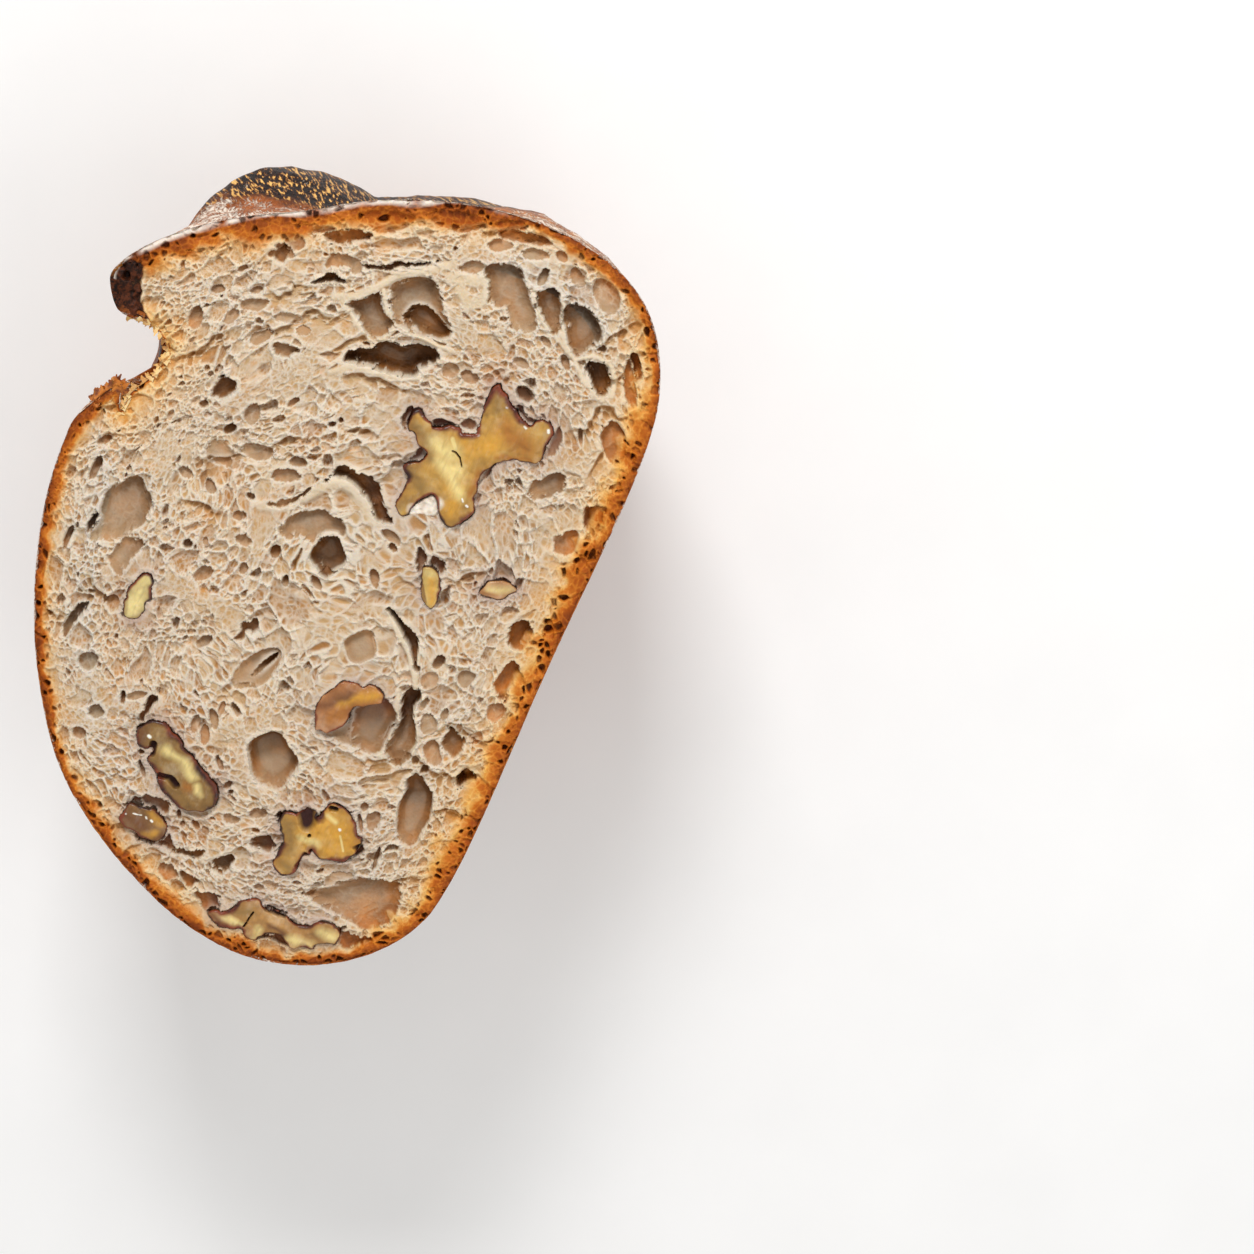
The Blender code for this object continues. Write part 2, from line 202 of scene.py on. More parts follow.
def face_over(outline, step, margin=1.0):
    """A square grid over a closed outline, its points just outside drawn onto the outline: x and y,
    how far inside each point is, which were drawn, and the outline's stretch that is nearest."""
    low, high = outline.min(axis=0) - margin, outline.max(axis=0) + margin
    xs, ys = np.arange(low[0], high[0], step), np.arange(low[1], high[1], step)
    x, y = np.meshgrid(xs, ys)
    within = np.zeros(x.shape, dtype=bool)
    distance = np.full(x.shape, EDGE_REACH)
    nearest = np.stack([x, y], axis=-1)
    stretch = np.zeros(x.shape, dtype=np.int32)
    for k, (a, b) in enumerate(zip(outline, np.roll(outline, -1, axis=0))):
        if a[1] != b[1]:
            first, last = sorted((a[1], b[1]))
            rows = np.nonzero((ys >= first) & (ys < last))[0]
            for row in rows:
                cross = a[0] + (b[0] - a[0]) * (ys[row] - a[1]) / (b[1] - a[1])
                within[row, np.searchsorted(xs, cross):] ^= True
        i0, i1 = np.searchsorted(xs, (min(a[0], b[0]) - EDGE_REACH, max(a[0], b[0]) + EDGE_REACH))
        j0, j1 = np.searchsorted(ys, (min(a[1], b[1]) - EDGE_REACH, max(a[1], b[1]) + EDGE_REACH))
        along = b - a
        window = np.s_[j0:j1, i0:i1]
        share = ((x[window] - a[0]) * along[0] + (y[window] - a[1]) * along[1]) / (along @ along)
        share = unit(share)
        near_x, near_y = a[0] + share * along[0], a[1] + share * along[1]
        away = np.hypot(x[window] - near_x, y[window] - near_y)
        closer = away < distance[window]
        distance[window] = np.where(closer, away, distance[window])
        stretch[window] = np.where(closer, k, stretch[window])
        nearest[window] = np.where(closer[..., None], np.stack([near_x, near_y], axis=-1), nearest[window])
    inward = np.where(within, distance, -distance)
    drawn = (inward <= 0) & (inward > -step * DRAWN_REACH)
    x, y = np.where(drawn, nearest[..., 0], x), np.where(drawn, nearest[..., 1], y)
    return x, y, np.maximum(inward, 0), drawn, stretch


def grid_faces(keep, height):
    """Triangles over the grid cells whose four corners are kept, cut along the flatter diagonal."""
    rows, columns = keep.shape
    index = np.arange(rows * columns).reshape(rows, columns)
    whole = keep[:-1, :-1] & keep[1:, :-1] & keep[:-1, 1:] & keep[1:, 1:]
    a, b, c, d = index[:-1, :-1], index[:-1, 1:], index[1:, 1:], index[1:, :-1]
    straight = np.abs(height[:-1, :-1] - height[1:, 1:]) < np.abs(height[:-1, 1:] - height[1:, :-1])
    one, other = whole & straight, whole & ~straight
    faces = [np.stack([a[one], b[one], c[one]], 1), np.stack([a[one], c[one], d[one]], 1),
             np.stack([a[other], b[other], d[other]], 1), np.stack([b[other], c[other], d[other]], 1)]
    return np.concatenate(faces)


def used_only(points, faces, *others):
    """Drops the points that no face uses."""
    used = np.unique(faces)
    place = np.full(len(points), -1)
    place[used] = np.arange(len(used))
    return (points[used], place[faces]) + tuple(other[used] for other in others)


# The walnut pieces. Quarters and crumbs of shelled walnut that were folded into the dough and went
# through the knife with it: yellow oily flesh in a thin dark brown skin, each in its own socket.
NUT_OUTLINES = {
    "nut_cross": (
        (48.9, -21.9), (49.4, -22.8), (48.2, -24.0), (46.8, -26.0), (45.5, -28.0), (44.7, -30.1),
        (44.3, -31.4), (45.7, -32.4), (46.5, -33.8), (46.0, -35.1), (44.7, -35.9), (42.4, -35.9),
        (40.4, -35.6), (38.7, -35.7), (37.6, -34.1), (36.8, -31.5), (35.6, -29.1), (34.6, -28.0),
        (32.8, -27.1), (31.3, -26.2), (29.8, -26.1), (28.1, -26.6), (26.6, -26.8), (25.3, -27.5),
        (24.0, -27.8), (22.2, -27.5), (20.3, -26.4), (18.9, -25.5), (18.9, -23.9), (19.6, -22.7),
        (21.0, -21.7), (22.5, -20.7), (23.6, -19.6), (22.8, -18.1), (21.3, -17.1), (19.1, -16.5),
        (17.5, -15.8), (18.0, -14.0), (18.9, -13.4), (21.4, -13.7), (23.7, -13.6), (25.6, -12.5),
        (27.1, -11.7), (28.1, -13.6), (29.4, -14.8), (30.8, -15.0), (31.7, -13.9), (32.1, -12.4),
        (33.8, -11.1), (33.9, -9.3), (36.1, -9.4), (38.1, -9.8), (37.7, -11.4), (36.6, -13.1),
        (36.0, -14.0), (36.9, -15.9), (38.2, -18.5), (37.5, -19.9), (38.4, -22.4), (40.6, -22.0),
        (42.6, -21.8), (45.5, -21.6), (47.8, -21.5)),
    "nut_crook": (
        (-47.4, 15.4), (-46.1, 15.5), (-44.6, 15.1), (-43.0, 13.4), (-42.5, 11.2), (-43.1, 9.6),
        (-43.9, 8.1), (-44.5, 6.7), (-45.8, 5.6), (-46.5, 3.7), (-47.4, 1.9), (-48.8, -0.8),
        (-50.0, -3.0), (-51.6, -4.1), (-53.7, -4.5), (-55.6, -3.6), (-56.7, -1.6), (-57.2, 0.5),
        (-57.2, 2.2), (-56.5, 4.1), (-55.7, 6.3), (-54.4, 7.4), (-53.0, 8.2), (-52.2, 9.2),
        (-51.1, 10.8), (-49.9, 11.4), (-48.6, 11.4), (-48.0, 12.3), (-48.5, 13.3), (-48.4, 14.5)),
    "nut_twin": (
        (-50.2, -18.2), (-49.4, -19.4), (-49.3, -20.9), (-48.4, -20.8), (-47.4, -22.2), (-47.2, -23.8),
        (-48.0, -24.2), (-47.0, -25.2), (-45.7, -25.3), (-44.1, -26.5), (-43.9, -28.2), (-44.6, -30.4),
        (-46.0, -32.0), (-48.1, -33.3), (-48.5, -34.5), (-50.2, -35.1), (-52.2, -34.5), (-54.0, -33.4),
        (-55.4, -30.3), (-55.6, -27.9), (-55.0, -26.6), (-56.0, -25.8), (-57.0, -25.1), (-58.4, -24.9),
        (-59.9, -25.1), (-61.2, -24.7), (-62.1, -23.2), (-62.0, -21.6), (-60.9, -20.2), (-59.5, -20.3),
        (-57.1, -20.5), (-54.6, -20.2), (-53.2, -18.9), (-51.7, -18.2)),
    "nut_rim": (
        (-76.1, -12.3), (-74.9, -13.7), (-74.7, -14.8), (-73.1, -16.6), (-71.0, -17.6), (-69.9, -19.3),
        (-69.6, -20.8), (-70.6, -22.4), (-70.2, -24.7), (-70.4, -26.7), (-71.4, -28.9), (-71.2, -31.4),
        (-69.5, -33.1), (-68.4, -35.5), (-69.1, -38.3), (-71.4, -38.6), (-72.1, -37.4), (-72.9, -35.5),
        (-73.7, -34.9), (-74.8, -34.8), (-75.2, -33.1), (-76.2, -31.0), (-75.8, -29.6), (-74.9, -28.6),
        (-74.6, -26.9), (-75.4, -25.0), (-76.7, -23.7), (-78.0, -23.0), (-78.1, -21.5), (-76.9, -20.1),
        (-76.8, -18.5), (-77.9, -16.1), (-77.2, -13.4)),
    "nut_amber": (
        (-64.9, 12.1), (-62.7, 11.6), (-60.9, 10.9), (-60.7, 9.0), (-60.4, 7.3), (-60.6, 5.3),
        (-61.6, 3.5), (-63.2, 2.6), (-65.1, 2.8), (-66.3, 3.7), (-66.5, 5.3), (-66.1, 7.3),
        (-65.9, 9.8)),
    "nut_tan": (
        (-29.9, -16.6), (-25.3, -15.4), (-23.1, -16.2), (-19.9, -18.0), (-18.9, -19.8), (-18.8, -22.0),
        (-17.8, -23.7), (-18.7, -26.4), (-20.2, -26.8), (-21.9, -24.6), (-23.3, -22.5), (-25.2, -22.0),
        (-28.2, -21.5), (-30.6, -19.4), (-30.8, -17.4)),
    "nut_pale": (
        (-17.0, 27.5), (-15.1, 26.9), (-14.7, 25.5), (-15.4, 24.7), (-17.3, 24.4), (-19.1, 23.7),
        (-20.4, 24.4), (-22.0, 24.1), (-23.7, 24.7), (-24.6, 26.4), (-23.9, 27.5), (-21.8, 28.3),
        (-19.8, 28.3), (-18.2, 28.0)),
    "nut_sliver": (
        (7.5, -23.7), (9.0, -23.8), (9.6, -25.2), (8.9, -26.9), (6.7, -28.1), (4.1, -28.7),
        (2.2, -28.4), (2.3, -26.7), (4.0, -25.3), (6.0, -24.6)),
    "nut_flake": (
        (9.4, -35.9), (11.4, -36.8), (12.8, -38.4), (13.0, -40.4), (12.5, -42.2), (10.9, -41.3),
        (9.5, -40.4), (9.2, -38.7), (8.7, -36.5)),
}
# How far a nut reaches past its traced line under the crumb's edge, and how ragged it is, in mm
NUT_REACH, NUT_RAG = 0.16, 0.32
NUT_CURVES = {}
for name, corners in NUT_OUTLINES.items():
    curve = closed_curve(corners, 10)
    along = np.roll(curve, -1, axis=0) - np.roll(curve, 1, axis=0)
    beside = np.stack([along[:, 1], -along[:, 0]], axis=1) / np.linalg.norm(along, axis=1, keepdims=True)
    turning = np.sum(curve[:, 0] * along[:, 1] - curve[:, 1] * along[:, 0])
    curve = curve + NUT_REACH * beside * np.sign(turning)
    NUT_CURVES[name] = curve + NUT_RAG * push(curve, 1.3, 8)


# The crumb. Sourdough crumb as the knife left it: thin pale walls round thousands of bubbles a
# millimetre or two across, drawn out along the crust, with some tens of large ones, smooth inside.
# Its rim is the baked crust, cut through: a porous orange-brown band, thicker at base, top and ear.
# Large pockets that the knife opened: depth, how dark their painted shade is, outline
POCKETS = (
    (3.4, 0.45, (
        (51.9, 11.5), (54.2, 8.8), (56.8, 6.4), (53.5, 4.4), (52.6, 2.0), (51.2, 1.2), (49.5, 2.0),
        (47.8, 3.7), (48.2, 5.4), (49.8, 7.8), (51.4, 10.2))),
    (3.6, 0.30, (
        (56.3, 4.1), (58.4, 4.5), (60.8, 2.9), (62.5, 0.6), (63.1, -2.1), (61.9, -4.4), (58.5, -6.7),
        (56.1, -9.3), (54.2, -9.9), (52.6, -8.8), (52.0, -6.1), (51.7, -3.5), (52.2, 1.0), (54.3, 2.7))),
    (5.8, 0.72, (
        (53.3, 0.4), (56.1, -0.8), (57.4, -3.3), (56.2, -6.4), (55.2, -9.2), (53.7, -9.4),
        (52.6, -8.0), (52.4, -5.4), (52.9, -1.7))),
    (8.0, 1.00, (
        (41.2, 7.6), (44.1, 6.6), (45.4, 3.7), (48.0, 1.8), (48.2, -1.6), (50.0, -4.7), (50.1, -7.7),
        (49.5, -9.5), (47.4, -8.9), (45.7, -7.0), (43.7, -6.1), (42.5, -2.7), (42.3, 0.7), (41.6, 4.7))),
    (2.8, 0.28, (
        (70.0, -10.6), (71.6, -12.7), (72.1, -16.4), (70.2, -19.0), (67.0, -21.7), (63.7, -24.2),
        (62.1, -24.7), (60.9, -23.1), (60.7, -20.5), (61.7, -18.8), (63.2, -17.3), (63.6, -14.1),
        (66.5, -12.8), (68.1, -11.4))),
    (3.4, 0.60, (
        (69.1, -21.9), (70.4, -22.8), (71.0, -25.6), (69.6, -26.4), (67.1, -28.0), (63.0, -28.7),
        (63.8, -26.6), (65.5, -24.3), (67.1, -23.0))),
    (4.4, 0.50, (
        (67.9, -27.6), (69.8, -28.5), (70.5, -31.5), (69.5, -34.1), (67.7, -36.2), (65.4, -37.0),
        (63.0, -35.7), (60.7, -34.1), (61.4, -32.0), (63.7, -30.1), (65.3, -29.8), (66.4, -28.3))),
    (5.6, 0.92, (
        (59.7, -36.3), (61.1, -37.4), (61.6, -39.4), (59.8, -41.5), (57.6, -42.5), (55.4, -41.7),
        (56.5, -39.0), (58.5, -37.5))),
    (4.4, 1.00, (
        (65.4, -44.0), (65.8, -44.9), (63.2, -47.0), (61.6, -47.5), (60.5, -46.9), (61.8, -45.9))),
    (2.6, 0.45, (
        (62.1, -43.5), (64.4, -43.8), (62.5, -45.5), (60.1, -47.1), (56.9, -48.9), (55.5, -48.3),
        (56.7, -46.6), (58.7, -45.0))),
    (3.6, 0.90, (
        (60.5, 11.5), (61.6, 8.5), (63.5, 5.4), (64.4, 2.8), (67.0, -1.8), (64.7, 1.2), (63.1, 4.3),
        (61.8, 5.9), (60.6, 8.1), (59.8, 11.1))),
    (5.0, 0.85, (
        (17.0, 1.6), (19.1, 0.6), (21.1, -0.2), (21.6, -1.9), (21.6, -3.8), (22.1, -5.8), (21.5, -7.4),
        (20.3, -9.1), (18.1, -11.1), (16.3, -13.0), (15.1, -14.4), (14.8, -13.4), (13.9, -11.5),
        (15.2, -9.9), (16.6, -8.5), (18.0, -6.5), (19.0, -4.4), (19.2, -2.1), (18.6, -0.2),
        (17.6, 1.0))),
    (1.6, 0.35, (
        (8.7, 9.9), (10.8, 6.9), (12.5, 4.9), (14.6, 3.3), (12.4, 4.0), (10.4, 5.4), (8.5, 7.1))),
    (2.4, 0.30, (
        (4.3, 5.6), (5.9, 5.2), (7.6, 4.5), (9.1, 3.5), (10.1, 2.2), (11.3, 0.5), (11.6, -1.2),
        (11.3, -3.0), (11.0, -5.0), (10.3, -6.5), (8.8, -7.0), (8.0, -6.6), (8.0, -5.2), (7.6, -3.7),
        (6.4, -2.3), (4.7, -1.7), (4.8, -0.8), (4.7, 0.8), (4.4, 2.1), (3.2, 2.9), (3.1, 4.3))),
    (6.0, 0.80, (
        (1.7, -2.2), (3.4, -2.0), (5.6, -2.4), (6.8, -3.0), (7.9, -5.0), (7.4, -6.6), (6.2, -7.8),
        (4.5, -8.9), (2.8, -9.1), (1.2, -8.1), (-0.4, -7.1), (-0.8, -6.2), (-0.1, -4.5), (0.9, -3.0))),
    (2.8, 0.45, (
        (12.6, -20.7), (12.2, -22.4), (10.9, -23.4), (8.8, -23.7), (7.9, -22.9), (9.5, -21.5))),
    (3.0, 0.70, (
        (9.7, -24.4), (11.9, -24.2), (11.7, -25.7), (11.2, -27.2), (9.1, -27.1), (9.7, -25.7))),
    (4.6, 0.85, (
        (-1.8, -20.1), (-1.7, -21.8), (-3.3, -24.0), (-4.1, -26.4), (-5.0, -27.9), (-6.4, -29.1),
        (-8.7, -29.8), (-10.2, -30.7), (-11.3, -30.8), (-10.6, -29.8), (-9.2, -28.6), (-7.1, -26.8),
        (-5.5, -24.8), (-3.4, -22.2))),
    (5.0, 0.62, (
        (-16.4, -30.5), (-15.2, -32.5), (-16.6, -33.7), (-19.0, -33.3), (-20.9, -34.3), (-22.9, -35.6),
        (-25.6, -36.8), (-27.7, -36.6), (-29.2, -36.9), (-31.4, -35.9), (-31.6, -33.9), (-30.3, -32.1),
        (-28.5, -31.7), (-26.0, -31.5), (-23.5, -32.0), (-20.6, -31.2), (-18.4, -30.4))),
    (3.0, 0.52, (
        (-29.2, -23.3), (-24.3, -22.3), (-20.1, -24.4), (-19.7, -27.5), (-21.0, -29.8), (-22.6, -31.2),
        (-25.7, -31.2), (-29.1, -31.3), (-31.4, -29.7), (-31.6, -26.7), (-30.9, -24.6))),
    (3.6, 0.55, (
        (-23.3, -41.3), (-21.2, -41.6), (-19.9, -41.5), (-19.3, -42.2), (-20.3, -43.6), (-20.9, -45.1),
        (-22.1, -46.1), (-23.5, -45.9), (-25.2, -45.1), (-24.8, -43.7), (-24.3, -42.5))),
    (4.2, 0.75, (
        (4.9, -44.3), (6.3, -44.9), (6.9, -46.7), (5.7, -48.4), (3.5, -48.3), (1.3, -47.7),
        (0.7, -46.4), (1.8, -45.2))),
    (3.0, 0.55, (
        (-7.5, -46.0), (-4.5, -46.2), (-1.8, -47.2), (-1.8, -48.7), (-4.2, -51.2), (-5.5, -51.3),
        (-6.3, -49.5), (-10.2, -49.4), (-9.7, -47.6), (-8.6, -46.5))),
    (9.0, 1.00, (
        (-29.2, -47.0), (-27.7, -47.7), (-26.7, -48.8), (-27.3, -50.5), (-28.2, -50.7), (-29.1, -49.5),
        (-31.1, -48.6), (-30.5, -47.7))),
    (3.0, 1.00, (
        (6.5, -50.0), (8.4, -50.1), (9.3, -51.2), (7.4, -52.1), (5.2, -52.1), (5.6, -51.0))),
    (2.5, 0.30, (
        (-5.8, 40.2), (-2.5, 39.9), (-0.5, 39.1), (1.5, 37.6), (2.7, 35.5), (1.8, 33.2), (-0.3, 31.0),
        (-2.1, 30.6), (-5.4, 30.9), (-7.3, 32.1), (-10.3, 33.5), (-11.5, 35.3), (-12.1, 36.7),
        (-13.0, 39.6), (-11.3, 39.6), (-9.0, 38.9))),
    (1.7, 0.22, (
        (-14.8, 34.9), (-12.8, 34.4), (-10.3, 33.5), (-9.0, 31.4), (-8.6, 29.6), (-10.4, 29.1),
        (-12.9, 30.1), (-15.3, 30.8), (-17.5, 30.9), (-17.1, 32.4))),
    (2.6, 0.70, (
        (-34.2, 36.4), (-31.6, 37.7), (-27.1, 36.9), (-25.6, 36.2), (-25.3, 34.5), (-29.2, 35.4),
        (-31.9, 36.0))),
    (3.0, 0.75, (
        (-11.2, 40.8), (-8.7, 40.7), (-6.6, 39.9), (-7.8, 39.4), (-10.6, 39.6), (-12.2, 40.1))),
    (2.8, 0.80, (
        (-20.5, 5.9), (-18.6, 4.7), (-16.6, 4.9), (-15.9, 3.5), (-14.7, 3.0), (-15.9, 1.8),
        (-17.7, 2.7), (-18.1, 3.6), (-19.8, 3.5), (-20.6, 5.2))),
    (1.4, 0.12, (
        (14.1, 25.5), (16.0, 24.3), (16.5, 22.5), (15.6, 19.9), (14.4, 18.0), (12.3, 18.2),
        (11.5, 20.8), (11.6, 23.4), (12.6, 25.0))),
    (1.8, 0.55, (
        (68.4, 13.8), (71.2, 12.9), (72.3, 10.8), (71.7, 8.2), (70.2, 10.8), (69.2, 9.1), (67.2, 10.9),
        (67.6, 12.6))),
    (3.0, 0.85, (
        (62.1, 19.7), (63.9, 17.9), (65.2, 16.8), (66.2, 14.3), (65.9, 11.9), (64.8, 13.0),
        (62.9, 15.5), (62.0, 18.0))),
    (5.0, 1.00, (
        (52.3, 20.1), (54.2, 18.3), (55.6, 17.3), (56.6, 15.1), (55.7, 13.3), (54.8, 15.6),
        (53.3, 17.9))),
    (1.6, 0.10, (
        (57.7, 18.5), (59.8, 17.4), (60.8, 14.6), (60.9, 12.1), (59.4, 11.1), (57.8, 12.4),
        (58.6, 14.3), (57.6, 16.5), (56.7, 17.7))),
    (3.5, 0.80, (
        (24.2, 28.8), (26.8, 28.6), (28.5, 28.0), (29.1, 26.9), (28.8, 24.9), (27.0, 24.4),
        (25.1, 25.6), (24.0, 27.4))),
    (3.0, 0.90, (
        (37.6, -13.4), (38.4, -15.2), (38.3, -18.4), (36.8, -15.9), (36.0, -14.0))),
    (1.3, 0.95, (
        (38.9, -18.7), (40.3, -19.3), (40.6, -20.6), (39.9, -21.6), (38.9, -22.0), (38.2, -19.3))),
    (2.0, 0.95, (
        (31.5, -12.9), (31.3, -14.3), (30.8, -14.9), (29.5, -14.7), (28.1, -13.6), (28.0, -12.8),
        (28.5, -12.5), (29.9, -12.8))),
    (2.4, 0.85, (
        (47.0, -27.0), (47.1, -28.2), (46.2, -29.2), (45.5, -31.1), (45.6, -32.2), (44.3, -31.4),
        (44.7, -29.9), (45.8, -27.9))),
    (1.6, 0.95, (
        (28.6, -26.7), (30.1, -26.3), (32.3, -26.9), (34.8, -28.1), (34.7, -28.6), (32.0, -27.9),
        (29.4, -27.3))),
    (2.4, 0.45, (
        (50.1, -25.7), (50.6, -27.3), (50.1, -28.8), (49.2, -29.7), (48.1, -29.3), (48.3, -27.8),
        (48.9, -26.5))),
    (2.0, 0.50, (
        (35.2, -7.4), (36.8, -8.3), (37.8, -9.6), (36.0, -9.7), (34.3, -9.1), (33.6, -9.0))),
    (2.2, 0.40, (
        (31.6, -36.4), (34.7, -36.5), (35.1, -37.9), (36.7, -38.4), (37.8, -40.0), (37.4, -41.5),
        (35.1, -42.5), (32.6, -40.7), (30.8, -38.7))),
    (1.6, 0.35, (
        (44.2, -36.2), (46.6, -36.5), (43.8, -38.4), (40.5, -37.9), (39.0, -36.2), (40.9, -36.3))),
    (3.0, 0.75, (
        (-39.3, 16.3), (-37.8, 15.8), (-38.0, 14.6), (-39.8, 14.7), (-42.1, 15.2), (-44.2, 15.5),
        (-43.4, 16.5), (-41.0, 16.1))),
    (3.0, 0.55, (
        (-58.8, 9.6), (-57.4, 7.5), (-57.3, 5.2), (-58.4, 3.3), (-60.5, 3.4), (-60.4, 5.4),
        (-60.4, 8.9))),
    (3.0, 0.90, (
        (-61.0, 10.8), (-59.7, 10.9), (-59.0, 9.7), (-60.4, 8.8), (-61.2, 9.6))),
    (3.2, 0.95, (
        (-66.5, 8.2), (-66.3, 6.6), (-66.3, 3.7), (-67.3, 4.0), (-68.0, 6.4), (-67.3, 7.7))),
    (2.6, 0.55, (
        (-65.4, 1.9), (-63.9, 1.3), (-65.6, -0.6), (-65.4, -3.3), (-63.9, -6.1), (-64.6, -6.8),
        (-66.1, -5.8), (-67.0, -2.6), (-66.9, 2.8))),
    (3.6, 0.75, (
        (-58.8, -13.8), (-56.9, -15.1), (-56.3, -17.1), (-57.4, -19.1), (-59.4, -19.0), (-59.8, -16.7))),
    (3.2, 0.68, (
        (-65.7, -8.8), (-64.2, -9.5), (-63.1, -12.2), (-64.4, -12.4), (-65.8, -12.1), (-67.2, -11.4),
        (-67.0, -9.5))),
    (2.6, 0.60, (
        (-65.6, -1.8), (-65.4, -3.5), (-63.8, -6.3), (-66.6, -5.9), (-66.7, -3.5))),
    (2.6, 0.60, (
        (-70.5, -3.8), (-70.1, -5.5), (-70.7, -7.9), (-72.7, -6.5), (-72.2, -4.5))),
    (2.8, 0.60, (
        (-73.9, -7.9), (-72.6, -9.3), (-71.9, -12.7), (-74.1, -13.6), (-76.1, -12.3), (-74.8, -9.2))),
    (3.4, 0.97, (
        (-76.9, -23.8), (-75.6, -25.1), (-74.9, -27.0), (-75.1, -28.6), (-76.0, -29.6), (-76.8, -28.1),
        (-76.6, -26.1))),
    (2.4, 0.90, (
        (-70.6, -22.4), (-70.2, -24.7), (-70.3, -26.8), (-69.9, -26.1), (-69.9, -22.7))),
    (3.0, 0.80, (
        (-71.3, -38.7), (-69.1, -38.4), (-68.4, -41.7), (-67.0, -45.2), (-66.3, -46.1), (-68.8, -45.0),
        (-71.7, -42.2), (-72.3, -40.2))),
    (3.2, 0.30, (
        (-64.7, -28.3), (-62.8, -30.3), (-60.2, -33.6), (-58.1, -36.1), (-56.5, -38.2), (-54.7, -43.7),
        (-54.7, -45.8), (-59.2, -47.7), (-62.8, -47.1), (-65.7, -45.2), (-66.8, -42.6), (-66.6, -39.4),
        (-66.1, -36.1), (-65.5, -32.1))),
    (2.6, 0.90, (
        (-51.2, -16.8), (-50.1, -17.4), (-50.1, -18.4), (-51.2, -18.5), (-52.9, -18.4), (-52.2, -17.5))),
    (2.8, 0.97, (
        (-52.4, -34.6), (-49.9, -35.1), (-50.9, -35.8), (-53.1, -35.2), (-54.5, -33.0))),
    (2.2, 0.30, (
        (39.0, 21.6), (39.6, 18.9), (39.8, 16.8), (39.1, 16.2), (37.4, 17.7), (37.0, 20.1))),
    (3.0, 0.55, (
        (75.9, 2.4), (77.1, 0.3), (77.8, -2.2), (77.9, -4.9), (76.8, -7.6), (75.5, -5.5), (75.1, -2.5),
        (73.6, 0.7), (73.9, 2.8))),
    (2.6, 0.70, (
        (78.2, -9.3), (79.5, -10.4), (80.5, -12.5), (80.5, -14.9), (79.0, -13.7), (77.9, -10.8))),
    (2.8, 0.65, (
        (76.5, -10.1), (78.2, -12.6), (79.2, -16.0), (79.1, -20.3), (77.9, -18.5), (77.4, -15.5),
        (76.3, -12.4))),
    (3.0, 0.60, (
        (69.4, 14.6), (71.5, 12.8), (73.2, 8.2), (73.0, 5.5), (70.9, 6.1), (68.3, 9.2), (67.5, 12.3))),
    (3.0, 0.75, (
        (62.5, 20.4), (64.6, 18.2), (66.3, 14.8), (66.4, 11.8), (64.0, 14.2), (62.1, 17.2))),
    (2.4, 0.60, (
        (54.6, 27.6), (57.9, 26.8), (56.3, 25.5), (54.4, 25.4))),
    (2.0, 0.50, (
        (62.0, 25.9), (63.6, 23.9), (64.1, 21.1), (62.0, 22.4))),
    (3.4, 0.80, (
        (31.1, -48.4), (33.0, -48.1), (34.6, -49.8), (34.7, -51.8), (31.3, -52.3), (27.9, -52.8),
        (28.6, -51.0), (29.3, -49.6))),
    (2.4, 0.85, (
        (39.2, -50.6), (40.9, -51.6), (40.8, -52.5), (39.3, -52.6), (38.3, -51.7))),
    (2.6, 0.70, (
        (21.2, -50.8), (23.5, -51.2), (24.5, -52.8), (22.8, -53.1), (21.0, -52.1))),
    (3.2, 0.95, (
        (6.1, -50.6), (9.2, -50.5), (9.0, -51.7), (7.3, -52.8), (5.4, -52.7))),
    (2.6, 0.60, (
        (44.5, -50.5), (46.6, -50.5), (47.6, -51.6), (46.7, -52.9), (44.6, -52.4), (43.9, -51.5))),
    (2.8, 0.45, (
        (1.9, -45.3), (5.1, -44.2), (7.2, -46.3), (5.9, -48.5), (2.4, -48.9), (0.5, -47.2))),
)
